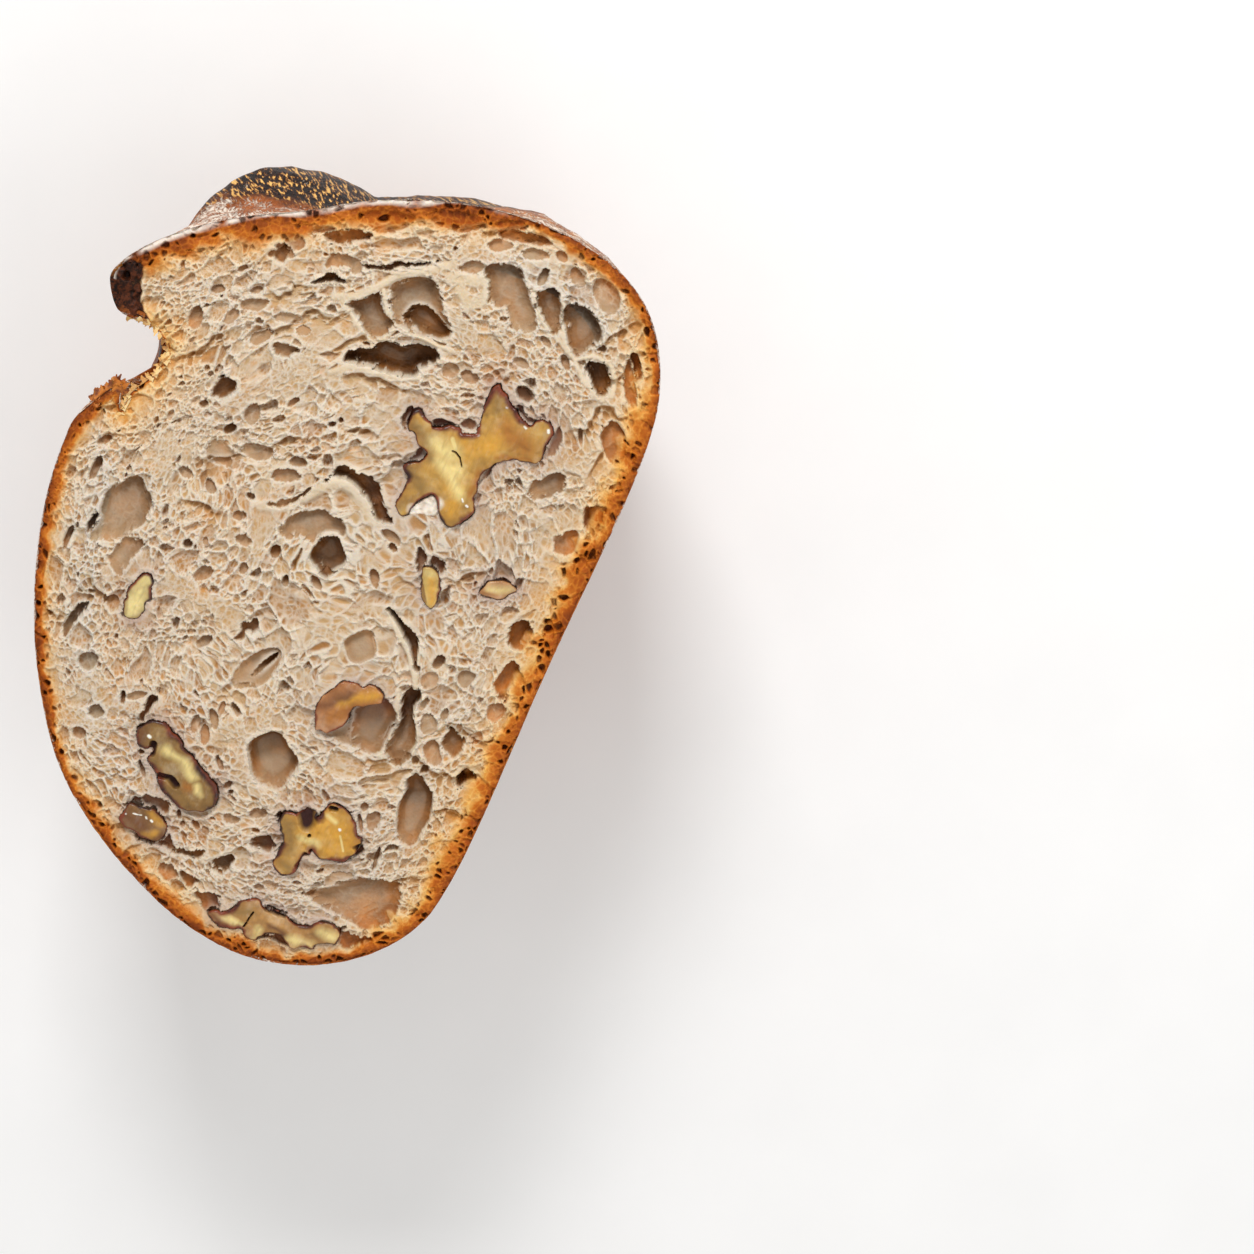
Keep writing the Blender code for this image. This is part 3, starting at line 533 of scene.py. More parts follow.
# Smaller ones: x, y, length, width, turn, depth
BUBBLES = (
    (75.7, -1.6, 12.4, 3.7, -71, 2.6), (79.0, -11.9, 6.0, 1.9, -74, 2.2),
    (78.0, -15.4, 10.8, 2.5, -80, 2.6), (74.8, -11.5, 5.2, 2.1, -66, 1.8),
    (-36.6, 29.8, 4.4, 4.2, -66, 2.0), (-24.5, -1.4, 11.4, 6.1, -26, 2.2),
    (-23.1, -2.4, 7.7, 1.2, -26, 3.6), (-11.4, -18.8, 6.8, 6.7, -66, 1.8),
    (47.2, -48.1, 9.2, 4.0, 34, 3.0), (31.4, -50.6, 5.8, 2.6, 44, 3.0),
    (25.6, -47.7, 5.2, 5.0, -66, 2.5), (22.7, -51.8, 2.6, 2.5, -66, 2.0),
    (-40.8, -11.5, 11.6, 10.0, 44, 5.0), (-39.7, -42.0, 15.8, 6.8, 14, 3.8),
    (-45.8, 25.0, 3.6, 2.5, -66, 1.8), (-51.3, 26.1, 3.2, 2.9, -66, 1.8),
    (-71.9, -1.3, 4.9, 3.3, 84, 2.0), (-26.0, -23.7, 15.6, 12.9, -76, 2.6),
    (-40.1, 5.6, 4.0, 2.1, 8, 1.8), (-41.6, 2.8, 4.0, 2.0, 20, 1.8), (-37.7, 2.4, 4.5, 2.1, 35, 1.6),
    (-35.1, 1.9, 3.5, 1.4, 6, 1.4), (-49.2, -5.3, 2.1, 1.5, -28, 2.2),
    (-50.4, -6.4, 1.2, 0.9, -26, 2.2), (-59.3, 1.3, 2.5, 0.9, 25, 2.4),
    (-61.2, -0.2, 1.4, 1.1, 38, 2.0), (-60.1, -2.6, 2.5, 1.4, 55, 1.8),
    (-45.5, -1.9, 2.7, 1.3, 48, 1.8), (-50.0, 13.2, 1.2, 1.0, -61, 2.4),
    (-53.4, 11.7, 3.8, 1.1, 39, 2.2), (-40.6, 21.0, 2.8, 1.0, 22, 2.4),
    (-39.1, 18.6, 4.8, 1.8, -54, 1.4), (-52.3, -13.3, 4.1, 2.5, -66, 2.0),
    (-44.1, -35.5, 3.7, 2.8, -9, 1.8), (-58.9, -29.7, 1.7, 0.9, -52, 2.0),
    (-60.3, -2.8, 2.0, 1.2, 54, 1.8), (-60.4, -4.7, 1.9, 1.8, 68, 1.4),
    (-55.8, -8.7, 3.4, 2.1, -70, 1.5), (-42.2, -32.7, 2.0, 1.8, 27, 1.8),
    (-45.8, -33.1, 3.8, 0.9, 29, 1.8), (-51.7, -39.1, 5.5, 0.9, 7, 2.2),
    (-67.0, -19.6, 2.5, 1.4, -69, 1.3), (-59.4, -33.8, 6.8, 3.3, -51, 1.3),
    (68.5, -8.5, 5.5, 2.4, -53, 1.5), (48.1, -12.8, 4.0, 3.0, -78, 1.6),
    (48.4, -16.9, 3.6, 2.4, 89, 1.8), (49.6, -27.7, 4.1, 2.6, -89, 2.2),
    (75.6, -18.5, 5.4, 2.4, -71, 1.6), (77.5, -23.4, 2.6, 2.1, 78, 1.5),
    (75.1, -27.9, 4.4, 2.9, 66, 1.9), (74.2, -34.7, 7.6, 4.6, 54, 1.9),
    (72.4, -21.5, 3.6, 2.1, -5, 2.0), (58.4, -32.6, 3.5, 1.4, 45, 2.0),
    (55.0, -24.7, 3.5, 1.9, 78, 1.4), (60.9, -27.4, 2.7, 1.3, 60, 1.6),
    (15.0, 8.5, 6.0, 2.8, -69, 2.0), (18.5, 7.4, 3.6, 2.3, -71, 2.2), (-0.2, 4.8, 2.6, 2.0, 13, 2.4),
    (-5.0, 0.5, 2.9, 1.3, 20, 2.3), (-3.0, -5.4, 3.2, 1.7, 55, 2.0), (10.2, -16.3, 2.1, 1.4, 75, 2.2),
    (2.6, -15.7, 4.4, 2.0, 30, 1.8), (12.3, -15.1, 4.8, 2.4, 80, 1.6),
    (-13.1, -48.3, 4.8, 4.0, -7, 1.8), (-7.7, -33.9, 3.8, 2.3, -7, 2.5),
    (-12.6, -34.2, 5.1, 4.2, 32, 1.3), (-8.8, -40.4, 4.2, 3.7, 0, 1.6),
    (-20.8, -37.4, 4.9, 3.8, 35, 1.4), (-26.4, -40.8, 5.8, 3.7, 39, 2.0),
    (-17.8, -39.8, 2.8, 1.5, 1, 1.5), (-19.0, -43.6, 2.5, 1.4, 11, 1.8),
    (-17.4, -34.9, 3.2, 1.7, -24, 2.0), (-19.9, -47.6, 3.8, 2.5, -22, 1.2),
    (-14.1, 43.4, 5.6, 1.3, 3, 2.4), (1.3, 43.7, 5.2, 2.0, -3, 2.5), (7.3, 44.3, 2.8, 1.6, -40, 2.2),
    (17.2, 15.9, 7.3, 3.1, -73, 1.9), (19.1, 22.6, 2.7, 2.1, -15, 2.8), (6.9, 21.5, 3.0, 2.0, 55, 2.0),
    (7.5, 27.2, 3.3, 1.9, 89, 1.7), (-5.7, 21.1, 2.2, 1.9, 14, 2.6), (-0.0, 4.9, 2.8, 2.0, -3, 2.4),
    (-5.1, 0.6, 2.8, 1.5, 17, 2.2), (8.4, 13.5, 1.7, 1.4, -86, 2.2), (3.5, 14.1, 2.9, 1.9, -63, 1.9),
    (-10.1, 15.8, 4.3, 3.1, -51, 1.8), (-5.8, 9.1, 2.6, 2.1, 22, 1.8),
    (-23.0, 10.6, 3.9, 2.2, -24, 2.0), (-0.5, 11.3, 3.6, 2.2, 87, 1.6),
    (-3.8, 18.1, 1.6, 1.2, 19, 1.2), (63.7, 20.9, 4.2, 1.5, -67, 1.8), (56.7, 26.1, 4.1, 2.1, 80, 2.0),
    (55.0, 28.2, 2.9, 1.5, -56, 1.7), (58.8, 24.9, 4.2, 3.2, -75, 1.2),
    (44.3, 35.3, 2.7, 1.5, -70, 1.9), (47.1, 28.6, 2.5, 1.4, -50, 1.6),
    (50.1, 32.5, 2.2, 1.1, -45, 1.5), (21.8, 29.0, 1.8, 1.5, -49, 2.1),
    (24.1, 19.7, 4.4, 4.0, 22, 2.0), (19.4, 22.4, 2.5, 2.3, 17, 2.6), (29.3, 13.2, 3.2, 1.5, -28, 1.7),
    (28.6, 4.5, 1.5, 1.0, -48, 2.4), (30.0, 3.2, 1.2, 1.1, 19, 2.4), (35.8, -8.6, 4.3, 2.5, 4, 2.5),
    (38.8, 24.1, 5.1, 2.3, -42, 1.7), (44.2, 27.7, 5.6, 2.5, -60, 1.5), (37.2, 37.3, 4.2, 2.8, 1, 1.9),
    (40.2, 30.8, 3.6, 2.4, -36, 1.3), (44.4, 20.6, 5.0, 2.7, -68, 1.3),
    (43.3, 16.9, 3.1, 2.0, -57, 1.5),
)
# Smooth strands of crumb between pockets: half the width, line
STRANDS = (
    (1.2, ((7.5, 11.0), (9.6, 6.4), (13.8, 2.7), (16.8, 0.7), (18.2, -2.0), (17.8, -4.9), (16.3, -7.8),
           (13.8, -10.5))),
    (0.9, ((52.3, 14.0), (54.1, 10.0), (57.7, 6.8), (61.1, 4.4), (64.1, -0.4), (67.7, -4.5))),
    (0.5, ((57.3, 5.8), (53.9, 3.5), (52.0, 0.9), (51.7, -3.5), (51.5, -8.0), (51.7, -11.4))),
    (0.5, ((52.2, 12.3), (49.5, 8.5), (47.2, 4.5), (48.4, 2.0), (50.7, 0.8))),
    (1.4, ((65.1, -5.6), (66.3, -9.4), (67.3, -12.5), (64.0, -13.0), (61.6, -10.6), (63.5, -8.0))),
    (0.5, ((68.1, -22.1), (64.5, -25.0), (62.2, -29.9), (60.0, -33.9), (56.9, -37.1), (54.7, -42.0))),
    (0.6, ((38.1, 8.9), (40.9, 5.7), (41.7, 0.9), (42.4, -3.6), (44.0, -7.3))),
    (0.5, ((70.6, -25.8), (68.9, -27.8), (64.2, -29.4), (60.9, -31.8))),
    (0.5, ((60.2, -34.3), (62.2, -36.9), (62.1, -40.5), (59.6, -42.9), (56.2, -43.5))),
    (0.6, ((-2.0, -20.4), (-5.4, -24.3), (-8.8, -28.1), (-12.7, -30.8), (-15.3, -32.2))),
    (0.7, ((-16.7, -29.1), (-21.0, -30.3), (-25.7, -30.8), (-30.6, -30.7))),
    (0.4, ((-6.9, -29.4), (-12.0, -31.1), (-18.2, -33.1), (-23.4, -36.0), (-27.8, -36.9))),
)

# Layers of cells: size, share that is open, depth for each mm of size, half the wall between them
FOAM_LAYERS = (
    (5.4, 0.26, 0.22, 0.22), (3.0, 0.52, 0.28, 0.17), (1.75, 0.86, 0.30, 0.13), (1.05, 0.95, 0.24, 0.10),
)
# The ear's burnt tip and the crumb stuck beside the large nut, as outlines
BURNT_TIP = (
    (37.1, 56.2), (39.9, 56.1), (42.5, 53.8), (42.7, 50.3), (40.7, 50.0), (38.6, 49.5),
    (36.7, 48.3), (34.8, 47.8), (33.0, 45.5), (32.3, 48.0), (32.8, 51.2), (34.1, 54.2),
)
STUCK_CRUMB = (
    (17.7, -16.5), (19.9, -16.9), (21.8, -18.2), (23.2, -19.3),
    (22.5, -20.7), (20.9, -21.6), (19.4, -21.4), (18.6, -19.1),
)
# The grid's step, the level of the knife's cut, and how deep the nuts' sockets are
CRUMB_STEP = 0.22
CRUMB_TOP = CUT_HEIGHT - 0.02
SOCKET_DEPTH = 3.4
# The crust in the cut: its plain thickness, what it has more at the base, the high and the low end,
# and its thickness where it is burnt or torn
CRUST_THICKNESS = 2.9
BASE_EXTRA, TOP_EXTRA, END_EXTRA = 2.4, 2.6, 0.9
BURNT_THICKNESS, TORN_THICKNESS = 6.5, 0.7
# Ways in the cut: to the side of a pocket where its painted shade is darkest, and from the loaf's low end to
# its high one
SHADED_WAY = np.array((0.9945, -0.105))
LOAF_UP = np.array((0.9125, 0.409))


def foam(q, pitch, seed, uneven=0.42):
    """For points in a grid: how far each is from the wall of its bubble, and the bubble's own lots."""
    home = np.floor(q / pitch).astype(np.int64)
    first = np.full(q.shape[:-1], 1e9)
    second = first.copy()
    luck = [np.zeros(q.shape[:-1]) for _ in range(2)]
    for di in range(-2, 3):
        for dj in range(-2, 3):
            cell = np.stack([home[..., 0] + di, home[..., 1] + dj, np.full(home.shape[:-1], seed)], axis=-1)
            shift = 2 * np.stack([lot(cell, 1), lot(cell, 2)], -1) - 1
            centre = (cell[..., :2] + 0.5 + 0.42 * shift) * pitch
            away = np.hypot(q[..., 0] - centre[..., 0], q[..., 1] - centre[..., 1])
            away = away - uneven * pitch * lot(cell, 3)
            closer = away < first
            second = np.where(closer, first, np.minimum(second, away))
            first = np.where(closer, away, first)
            for values, seed_of in zip(luck, (4, 5)):
                values[closer] = lot(cell[closer], seed_of)
    return (second - first) / 2, luck


def inside(outline, points):
    """How far each point is inside a closed outline, below zero where it is outside."""
    starts, ends = outline, np.roll(outline, -1, axis=0)
    along = ends - starts
    share = points @ along.T - np.einsum("sk,sk->s", starts, along)
    share = unit(share / (np.einsum("sk,sk->s", along, along) + 1e-9))
    away = np.min(np.hypot(points[:, 0, None] - starts[:, 0] - share * along[:, 0],
                           points[:, 1, None] - starts[:, 1] - share * along[:, 1]), axis=1)
    above = points[:, 1, None]
    crossing = (starts[:, 1] > above) != (ends[:, 1] > above)
    rise = np.where(along[:, 1] == 0, 1e-9, along[:, 1])
    crossing &= points[:, 0, None] < starts[:, 0] + along[:, 0] * (above - starts[:, 1]) / rise
    return np.where(crossing.sum(axis=1) % 2 == 1, away, -away)


def around(outline, margin):
    """Which points of the cut's grid are near an outline."""
    low, high = outline.min(axis=0) - margin, outline.max(axis=0) + margin
    return (x > low[0]) & (x < high[0]) & (y > low[1]) & (y < high[1])


def blurred(field, steps):
    """The field averaged over about this many grid steps each way."""
    for axis in (0, 1, 0, 1):
        wide = [(steps + 1, steps) if k == axis else (0, 0) for k in (0, 1)]
        total = np.cumsum(np.pad(field, wide, mode="edge"), axis=axis)
        ahead = np.take(total, range(2 * steps + 1, total.shape[axis]), axis)
        behind = np.take(total, range(0, total.shape[axis] - 2 * steps - 1), axis)
        field = (ahead - behind) / (2 * steps + 1)
    return field


def gap_within(corners, at):
    """How far inside a traced outline each point of the face is, and -9 well outside it."""
    outline = closed_curve(corners, 4)
    near = around(outline, 3.0)
    gap = np.full(x.shape, -9.0)
    gap[near] = inside(outline, at[near])
    return gap


def edge_drops(at, torn):
    """How far points lie below the knife's level: the edge's rag, its tears, and the cut's own swell."""
    rag = 0.30 * (grain(at, 1.6, 72) + 1) / 2 + 0.35 * (grain(at, 0.7, 73) + 1) / 2
    tears = torn * (0.4 + 1.7 * unit(grain(at, 2.6, 76) + 0.3))
    swell = 0.30 * (grain(at, 16.0, 74) + 1) + 0.16 * (grain(at, 5.0, 75) + 1)
    return rag, tears, swell


x, y, inward, on_edge, stretch = face_over(cut_edge, CRUMB_STEP)
keep = (inward > 0) | on_edge
flat = np.stack([x, y], axis=-1)

# Drawn-out bubbles: the dough's own coordinates, squeezed across the way it stretched
from_pole = flat - np.array((0.0, -14.0))
reach = np.hypot(from_pole[..., 0], from_pole[..., 1] * 1.35)
draw = np.maximum(reach, 16.0)[..., None]
dough = from_pole * (draw / 50.0) ** 0.42
dough = dough + 2.8 * push(flat, 13.0, 11)
dough = dough + 0.8 * push(flat, 3.4, 13)

# How thick and how burnt the crust is round the cut
station = np.arange(len(cut_edge)) / STATION_STEPS
burnt_edge = np.exp(-((station - TIP_STATION + 0.1) / 1.7) ** 2)
burnt_edge = np.maximum(burnt_edge, 0.22 * np.exp(-((station - LIP_STATION + 0.4) / 1.4) ** 2))
torn_edge = ((station > TIP_STATION + 2.4) & (station < LIP_STATION - 1.6)).astype(float)
torn_edge = np.concatenate([torn_edge[-6:], torn_edge, torn_edge[:6]])
torn_edge = np.convolve(torn_edge, np.ones(13) / 13, "valid")
base_side = unit((-cut_edge[:, 1] - 42) / 9)
low_end = unit((-cut_edge[:, 0] - 55) / 20)
top_side = unit((cut_edge[:, 0] - 38) / 14) * unit((cut_edge[:, 1] + 16) / 14)
thick_edge = CRUST_THICKNESS + BASE_EXTRA * base_side + END_EXTRA * low_end + TOP_EXTRA * top_side
thick_edge = thick_edge + (BURNT_THICKNESS - CRUST_THICKNESS) * burnt_edge * (station < TIP_STATION + 2)
thick_edge = thick_edge + (TORN_THICKNESS - thick_edge) * torn_edge
thickness = thick_edge[stretch] * (1 + 0.36 * grain(flat, 7.0, 21) + 0.38 * grain(flat, 2.2, 22))
brown = base_side[stretch] * unit(1.6 - inward / 9.0)
baked = unit(1 - inward / thickness)
warm_reach = 2.4 + 3.4 * torn_edge + 2.8 * base_side + 2.2 * top_side + 1.8 * low_end
toasted = np.exp(-np.maximum(inward - thickness * 0.6, 0) / warm_reach[stretch])

# Folds: where the dough was laid over itself, the crumb drops under a ragged line and rises again
down_way = -(flat @ LOAF_UP)
fold_field = down_way / 8.5 + 1.5 * grain(flat, 24.0, 23)
fold_field = fold_field + 0.30 * grain(flat, 6.0, 24) + 0.07 * grain(flat, 1.6, 25)
fold_share = fold_field - np.floor(fold_field)
fold_depth = 1.7 * unit(grain(flat, 11.0, 26) * 1.6 - 0.15)
fold = fold_depth * unit(fold_share / 0.06) * (1 - unit(fold_share)) ** 2.2
fold_edge = np.exp(-((1 - fold_share) / 0.035) ** 2) * unit(fold_depth)

# Strands between the pockets
strand = np.zeros(x.shape)
for half, line in STRANDS:
    line = np.array(line)
    near = around(line, half * 2.5 + 1)
    there_and_back = np.concatenate([line, line[-2:0:-1]])
    strand[near] = np.maximum(strand[near], np.exp(-(inside(there_and_back, flat[near]) / half) ** 4))

# The foam, from the widest cells to the finest: its relief, its walls, and each bubble's own tint
height = np.zeros(x.shape)
wall = np.zeros(x.shape)
tint = np.full(x.shape, 0.5)
smooth_patch = unit((grain(flat, 8.0, 48) + 0.4 * grain(flat, 3.0, 49) - 0.22) * 3)
shown = (1 - 0.85 * strand) * (1 - 0.6 * smooth_patch)
scallop = np.zeros(x.shape)
for number, (pitch, share, depth, half_wall) in enumerate(FOAM_LAYERS):
    edge, (luck, size) = foam(dough, pitch, 31 + number)
    edge = edge + 0.045 * grain(flat, 0.8, 41 + number)
    share = share * (1 + 0.35 * grain(flat, 19.0, 45 + number))
    opened = unit((share - luck) * 14)
    t = unit((edge - half_wall) / (0.34 * pitch))
    rise_y, rise_x = np.gradient(edge)
    facing = (rise_x * LOAF_UP[0] + rise_y * LOAF_UP[1]) / (np.hypot(rise_x, rise_y) + 1e-6)
    t = t ** (1 + 0.65 * facing)
    deep = np.where((size > 0.93) & (number in (1, 2)), 2.6, 0.55 + 0.75 * size)
    bowl = depth * pitch * deep * opened * np.sqrt(1 - (1 - t) ** 2)
    height = height - bowl * shown
    rim = np.exp(-(np.maximum(edge - half_wall * 0.4, 0) / 0.13) ** 2) * unit(opened * 2)
    wall = np.maximum(wall, rim * (0.45 + 0.55 * shown))
    tint = np.where((t > 0.02) & (opened > 0.5) & (shown > 0.5), luck / np.maximum(share, 0.1), tint)
    shown = shown * (1 - 0.74 * unit(t * 3) * opened)
    bubble = np.stack([np.round(luck * 1e5), np.round(size * 1e5), luck * 0], -1).astype(np.int64)
    scallop = scallop + (lot(bubble, 6) - 0.5) * (number in (2, 3))
height = height - fold
wall = np.maximum(wall * (1 - 0.8 * unit(fold * 1.4)), fold_edge)

# The bubbles that stand out, each a smooth bowl in the foam, with painted shade that is darker in deep ones
# and on one side
hollow = np.zeros(x.shape)
dark = np.zeros(x.shape)
bent = flat + 0.9 * push(flat, 3.6, 51)
for bx, by, length, width, turn, depth in BUBBLES:
    narrow, span = min(length, width), max(length, width) * 0.75
    window = (np.abs(x - bx) < span) & (np.abs(y - by) < span)
    c, s = math.cos(math.radians(turn)), math.sin(math.radians(turn))
    apart = flat[window] + (bent[window] - flat[window]) * min(1.0, narrow / 5.0) - (bx, by)
    rho = np.hypot((apart[:, 0] * c + apart[:, 1] * s) / (length / 2),
                   (apart[:, 1] * c - apart[:, 0] * s) / (width / 2))
    rho = rho + scallop[window] * min(0.16, 0.40 / narrow)
    upper = np.clip((apart @ LOAF_UP) / (0.4 * narrow + 0.1 * span), -1, 1)
    t = unit(1 - rho)
    steep = np.clip(0.16 + 0.30 * (1 - upper) / 2 * min(1.0, 3.0 / depth), 0.1, 0.5)
    bowl = depth * np.sqrt(unit(1 - unit(1 - t / steep) ** 2)) * (0.80 + 0.20 * upper)
    smooth = unit(t / 0.12)
    kept_out = 0.80 if narrow < 6 else 0.98
    shaded = np.clip((apart @ SHADED_WAY) / (0.5 * narrow), -1, 1)
    rim = np.exp(-((rho - 1.0) * narrow / 2 / 0.20) ** 2) * (hollow[window] < 0.1)
    height[window] = np.minimum(height[window] * (1 - kept_out * smooth) - bowl, height[window])
    wall[window] = np.maximum(wall[window] * (1 - kept_out * smooth), rim * (rho > 0.97))
    hollow[window] = np.maximum(hollow[window], smooth)
    # Painted shade on the bowl: darker as it is deeper, and darker towards SHADED_WAY
    darkest = 0.8 if narrow < 8 else 0.5
    darkness = np.clip((depth - 1.3) / 2.6, 0, darkest) * (0.66 + 0.34 * shaded)
    dark[window] = np.maximum(dark[window], smooth * darkness)

# The large pockets, steepest under their upper edge, with painted shade that is darker on one side
for depth, darkness, corners in POCKETS:
    outline = closed_curve(corners, 4)
    near = around(outline, 1.2)
    gap = inside(outline, flat[near] + 0.25 * (bent[near] - flat[near])) + 0.45 * scallop[near]
    widest = gap.max()
    upper = np.clip((flat[near] - outline.mean(axis=0)) @ LOAF_UP / (widest * 1.5), -1, 1)
    steep = (0.30 + 0.30 * (1 - upper) / 2) * widest
    t = unit(gap / steep)
    bowl = depth * np.sqrt(1 - (1 - t) ** 2) * (0.85 + 0.15 * upper)
    smooth = unit(gap / 0.30)
    rim = np.exp(-((gap + 0.18) / 0.20) ** 2) * (hollow[near] < 0.1)
    height[near] = np.minimum(height[near] * (1 - 0.94 * smooth) - bowl, height[near])
    wall[near] = np.maximum(wall[near] * (1 - 0.92 * smooth), rim)
    hollow[near] = np.maximum(hollow[near], smooth)
    # Painted shade on the pocket's floor, darker towards SHADED_WAY
    shaded = np.clip((flat[near] - outline.mean(axis=0)) @ SHADED_WAY / (widest * 1.5), -1, 1)
    deeper = smooth * unit(darkness + 0.30 * shaded * (0.5 + darkness))
    dark[near] = np.where(smooth > 0, np.maximum(deeper, dark[near] * (1 - smooth)), dark[near])

# The nuts' sockets, and the purple-brown stain that the nuts' skin leaves in the crumb beside them
stain = np.zeros(x.shape)
for outline in NUT_CURVES.values():
    near = around(outline, 6.0)
    gap = inside(outline, flat[near])
    open_gap = -0.14 + 0.36 * unit(grain(flat[near], 4.5, 62))
    height[near] = np.where(gap > -open_gap, -SOCKET_DEPTH, height[near])
    stain[near] = np.maximum(stain[near], np.exp(-np.maximum(-gap, 0) / 2.2))
stain = unit(stain * (0.75 + 0.6 * grain(flat, 4.2, 61)))

# The ear's burnt tip, which curls past the cut, a crumb stuck in the large nut's notch, and the
# flour of the upper crust that shows at the rim
tip_gap = gap_within(BURNT_TIP, flat + 0.35 * push(flat, 1.4, 63))
tip_here = unit(tip_gap / 0.30 + 0.5)
height = height * (1 - 0.8 * tip_here) - tip_here * (1.1 + 0.5 * grain(flat, 2.0, 65))
wall = np.maximum(wall * (1 - tip_here), np.exp(-((tip_gap + 0.45) / 0.35) ** 2))
chip_gap = gap_within(STUCK_CRUMB, bent)
chip_here = unit(chip_gap / 0.2 + 0.5)
height = height * (1 - chip_here) - 0.25 * chip_here * (1 + grain(flat, 0.7, 66))
wall = np.maximum(wall, chip_here * (0.8 + 0.4 * grain(flat, 0.7, 66)))
upper_run = (station < TIP_STATION - 0.4) | (station > station[-1] - 8)
upper_run = upper_run * unit((cut_edge[:, 0] - 28) / 8) * unit((cut_edge[:, 1] + 12) / 12)
upper_rim = upper_run[stretch] * unit(1.6 - inward / (0.7 + 0.6 * grain(flat, 6.0, 67)))
floured = np.maximum(upper_rim * unit(0.95 + 1.0 * grain(flat, 2.2, 68)),
                     chip_here * unit(0.9 + grain(flat, 0.8, 66)))

# The crust's own pores, and a cut face that the knife dragged a little uneven
crusty = flat + 0.5 * dough + 0.9 * push(flat, 2.4, 77)
edge, (luck, size) = foam(crusty, 2.3, 71, 0.6)
pores = 1.3 * unit((edge - 0.12) / 0.5) * (luck < 0.36) * (0.3 + size)
pore_rim = np.exp(-((edge - 0.05) / 0.16) ** 2) * (luck < 0.85)
in_crust = unit(baked * 3.0)
height = height * (1 - 0.60 * in_crust) - pores * in_crust
wall = wall * (1 - 0.5 * in_crust) + 0.8 * pore_rim * in_crust
rag, tears, swell = edge_drops(flat, torn_edge[stretch])
height = height - (rag * unit(1 - inward / 0.8) + tears * unit(1 - inward / 2.4) ** 1.5)
height = height - swell
height = np.where(on_edge, -rag - tears - swell, height)

surface = np.stack([x, y, CRUMB_TOP + height], axis=-1)
slope_y, slope_x = np.gradient(height, CRUMB_STEP)
normals = np.stack([-slope_x, -slope_y, np.ones(x.shape)], axis=-1)
normals /= np.linalg.norm(normals, axis=-1, keepdims=True)
faces = grid_faces(keep, height)
filled = np.where(keep, height, -0.6)
# How far each point lies below the crumb close by, and below that farther round it
close_by = blurred(filled, 3) - height
farther = blurred(filled, 11) - height


class Shader:
    """Node building in few words: each call adds a node and gives back its output."""

    def __init__(self, name):
        self.material = bpy.data.materials.new(name)
        self.material.use_nodes = True
        self.tree = self.material.node_tree
        self.surface = self.tree.nodes["Principled BSDF"]

    def node(self, kind, output=0, settings=None, **inputs):
        made = self.tree.nodes.new(kind)
        for key, value in (settings or {}).items():
            setattr(made, key, value)
        for key, value in inputs.items():
            numbered = key[0] == "i" and key[1:].isdigit()
            self.put(made.inputs[int(key[1:]) if numbered else key], value)
        return made.outputs[output]

    def put(self, socket, value):
        if isinstance(value, bpy.types.NodeSocket):
            self.tree.links.new(value, socket)
        else:
            socket.default_value = value

    def values(self, label):
        return self.node("ShaderNodeAttribute", 2, {"attribute_name": label})

    def math(self, operation, a, b, clamp=False):
        return self.node("ShaderNodeMath", 0, {"operation": operation, "use_clamp": clamp}, i0=a, i1=b)

    def times(self, a, b, clamp=False):
        return self.math("MULTIPLY", a, b, clamp)

    def plus(self, a, b, clamp=False):
        return self.math("ADD", a, b, clamp)

    def minus(self, a, b):
        return self.math("SUBTRACT", a, b)

    def noise(self, where, scale, detail=3.0, rough=0.55):
        return self.node("ShaderNodeTexNoise", 0, None,
                         Vector=where, Scale=scale, Detail=detail, Roughness=rough)

    def ramp(self, value, *stops):
        """Stops of a place and a colour, or a number for a grey."""
        made = self.tree.nodes.new("ShaderNodeValToRGB")
        self.tree.links.new(value, made.inputs[0])
        elements = made.color_ramp.elements
        while len(elements) < len(stops):
            elements.new(0.5)
        for element, (place, colour) in zip(elements, stops):
            element.position = place
            element.color = (*(colour if isinstance(colour, tuple) else (colour,) * 3), 1.0)
        return made.outputs[0]

    def mix(self, share, a, b):
        made = self.tree.nodes.new("ShaderNodeMix")
        made.data_type = "RGBA"
        self.put(made.inputs[0], share)
        for socket, value in ((made.inputs[6], a), (made.inputs[7], b)):
            self.put(socket, value if isinstance(value, bpy.types.NodeSocket) else (*value, 1.0))
        return made.outputs[2]

    def spot(self):
        return self.node("ShaderNodeTexCoord", 3)

    def bump(self, height, distance, strength):
        made = self.tree.nodes.new("ShaderNodeBump")
        made.inputs["Strength"].default_value = strength
        made.inputs["Distance"].default_value = distance
        self.tree.links.new(height, made.inputs["Height"])
        return made.outputs[0]

    def finish(self, **inputs):
        for key, value in inputs.items():
            self.put(self.surface.inputs[key.replace("_", " ")], value)
        return self.material


def rgb(red, green, blue):
    """A colour given as it looks on screen, from 0 to 255, as the light values that shaders use."""
    shares = (red / 255, green / 255, blue / 255)
    return tuple(((v + 0.055) / 1.055) ** 2.4 if v > 0.04 else v / 12.92 for v in shares)


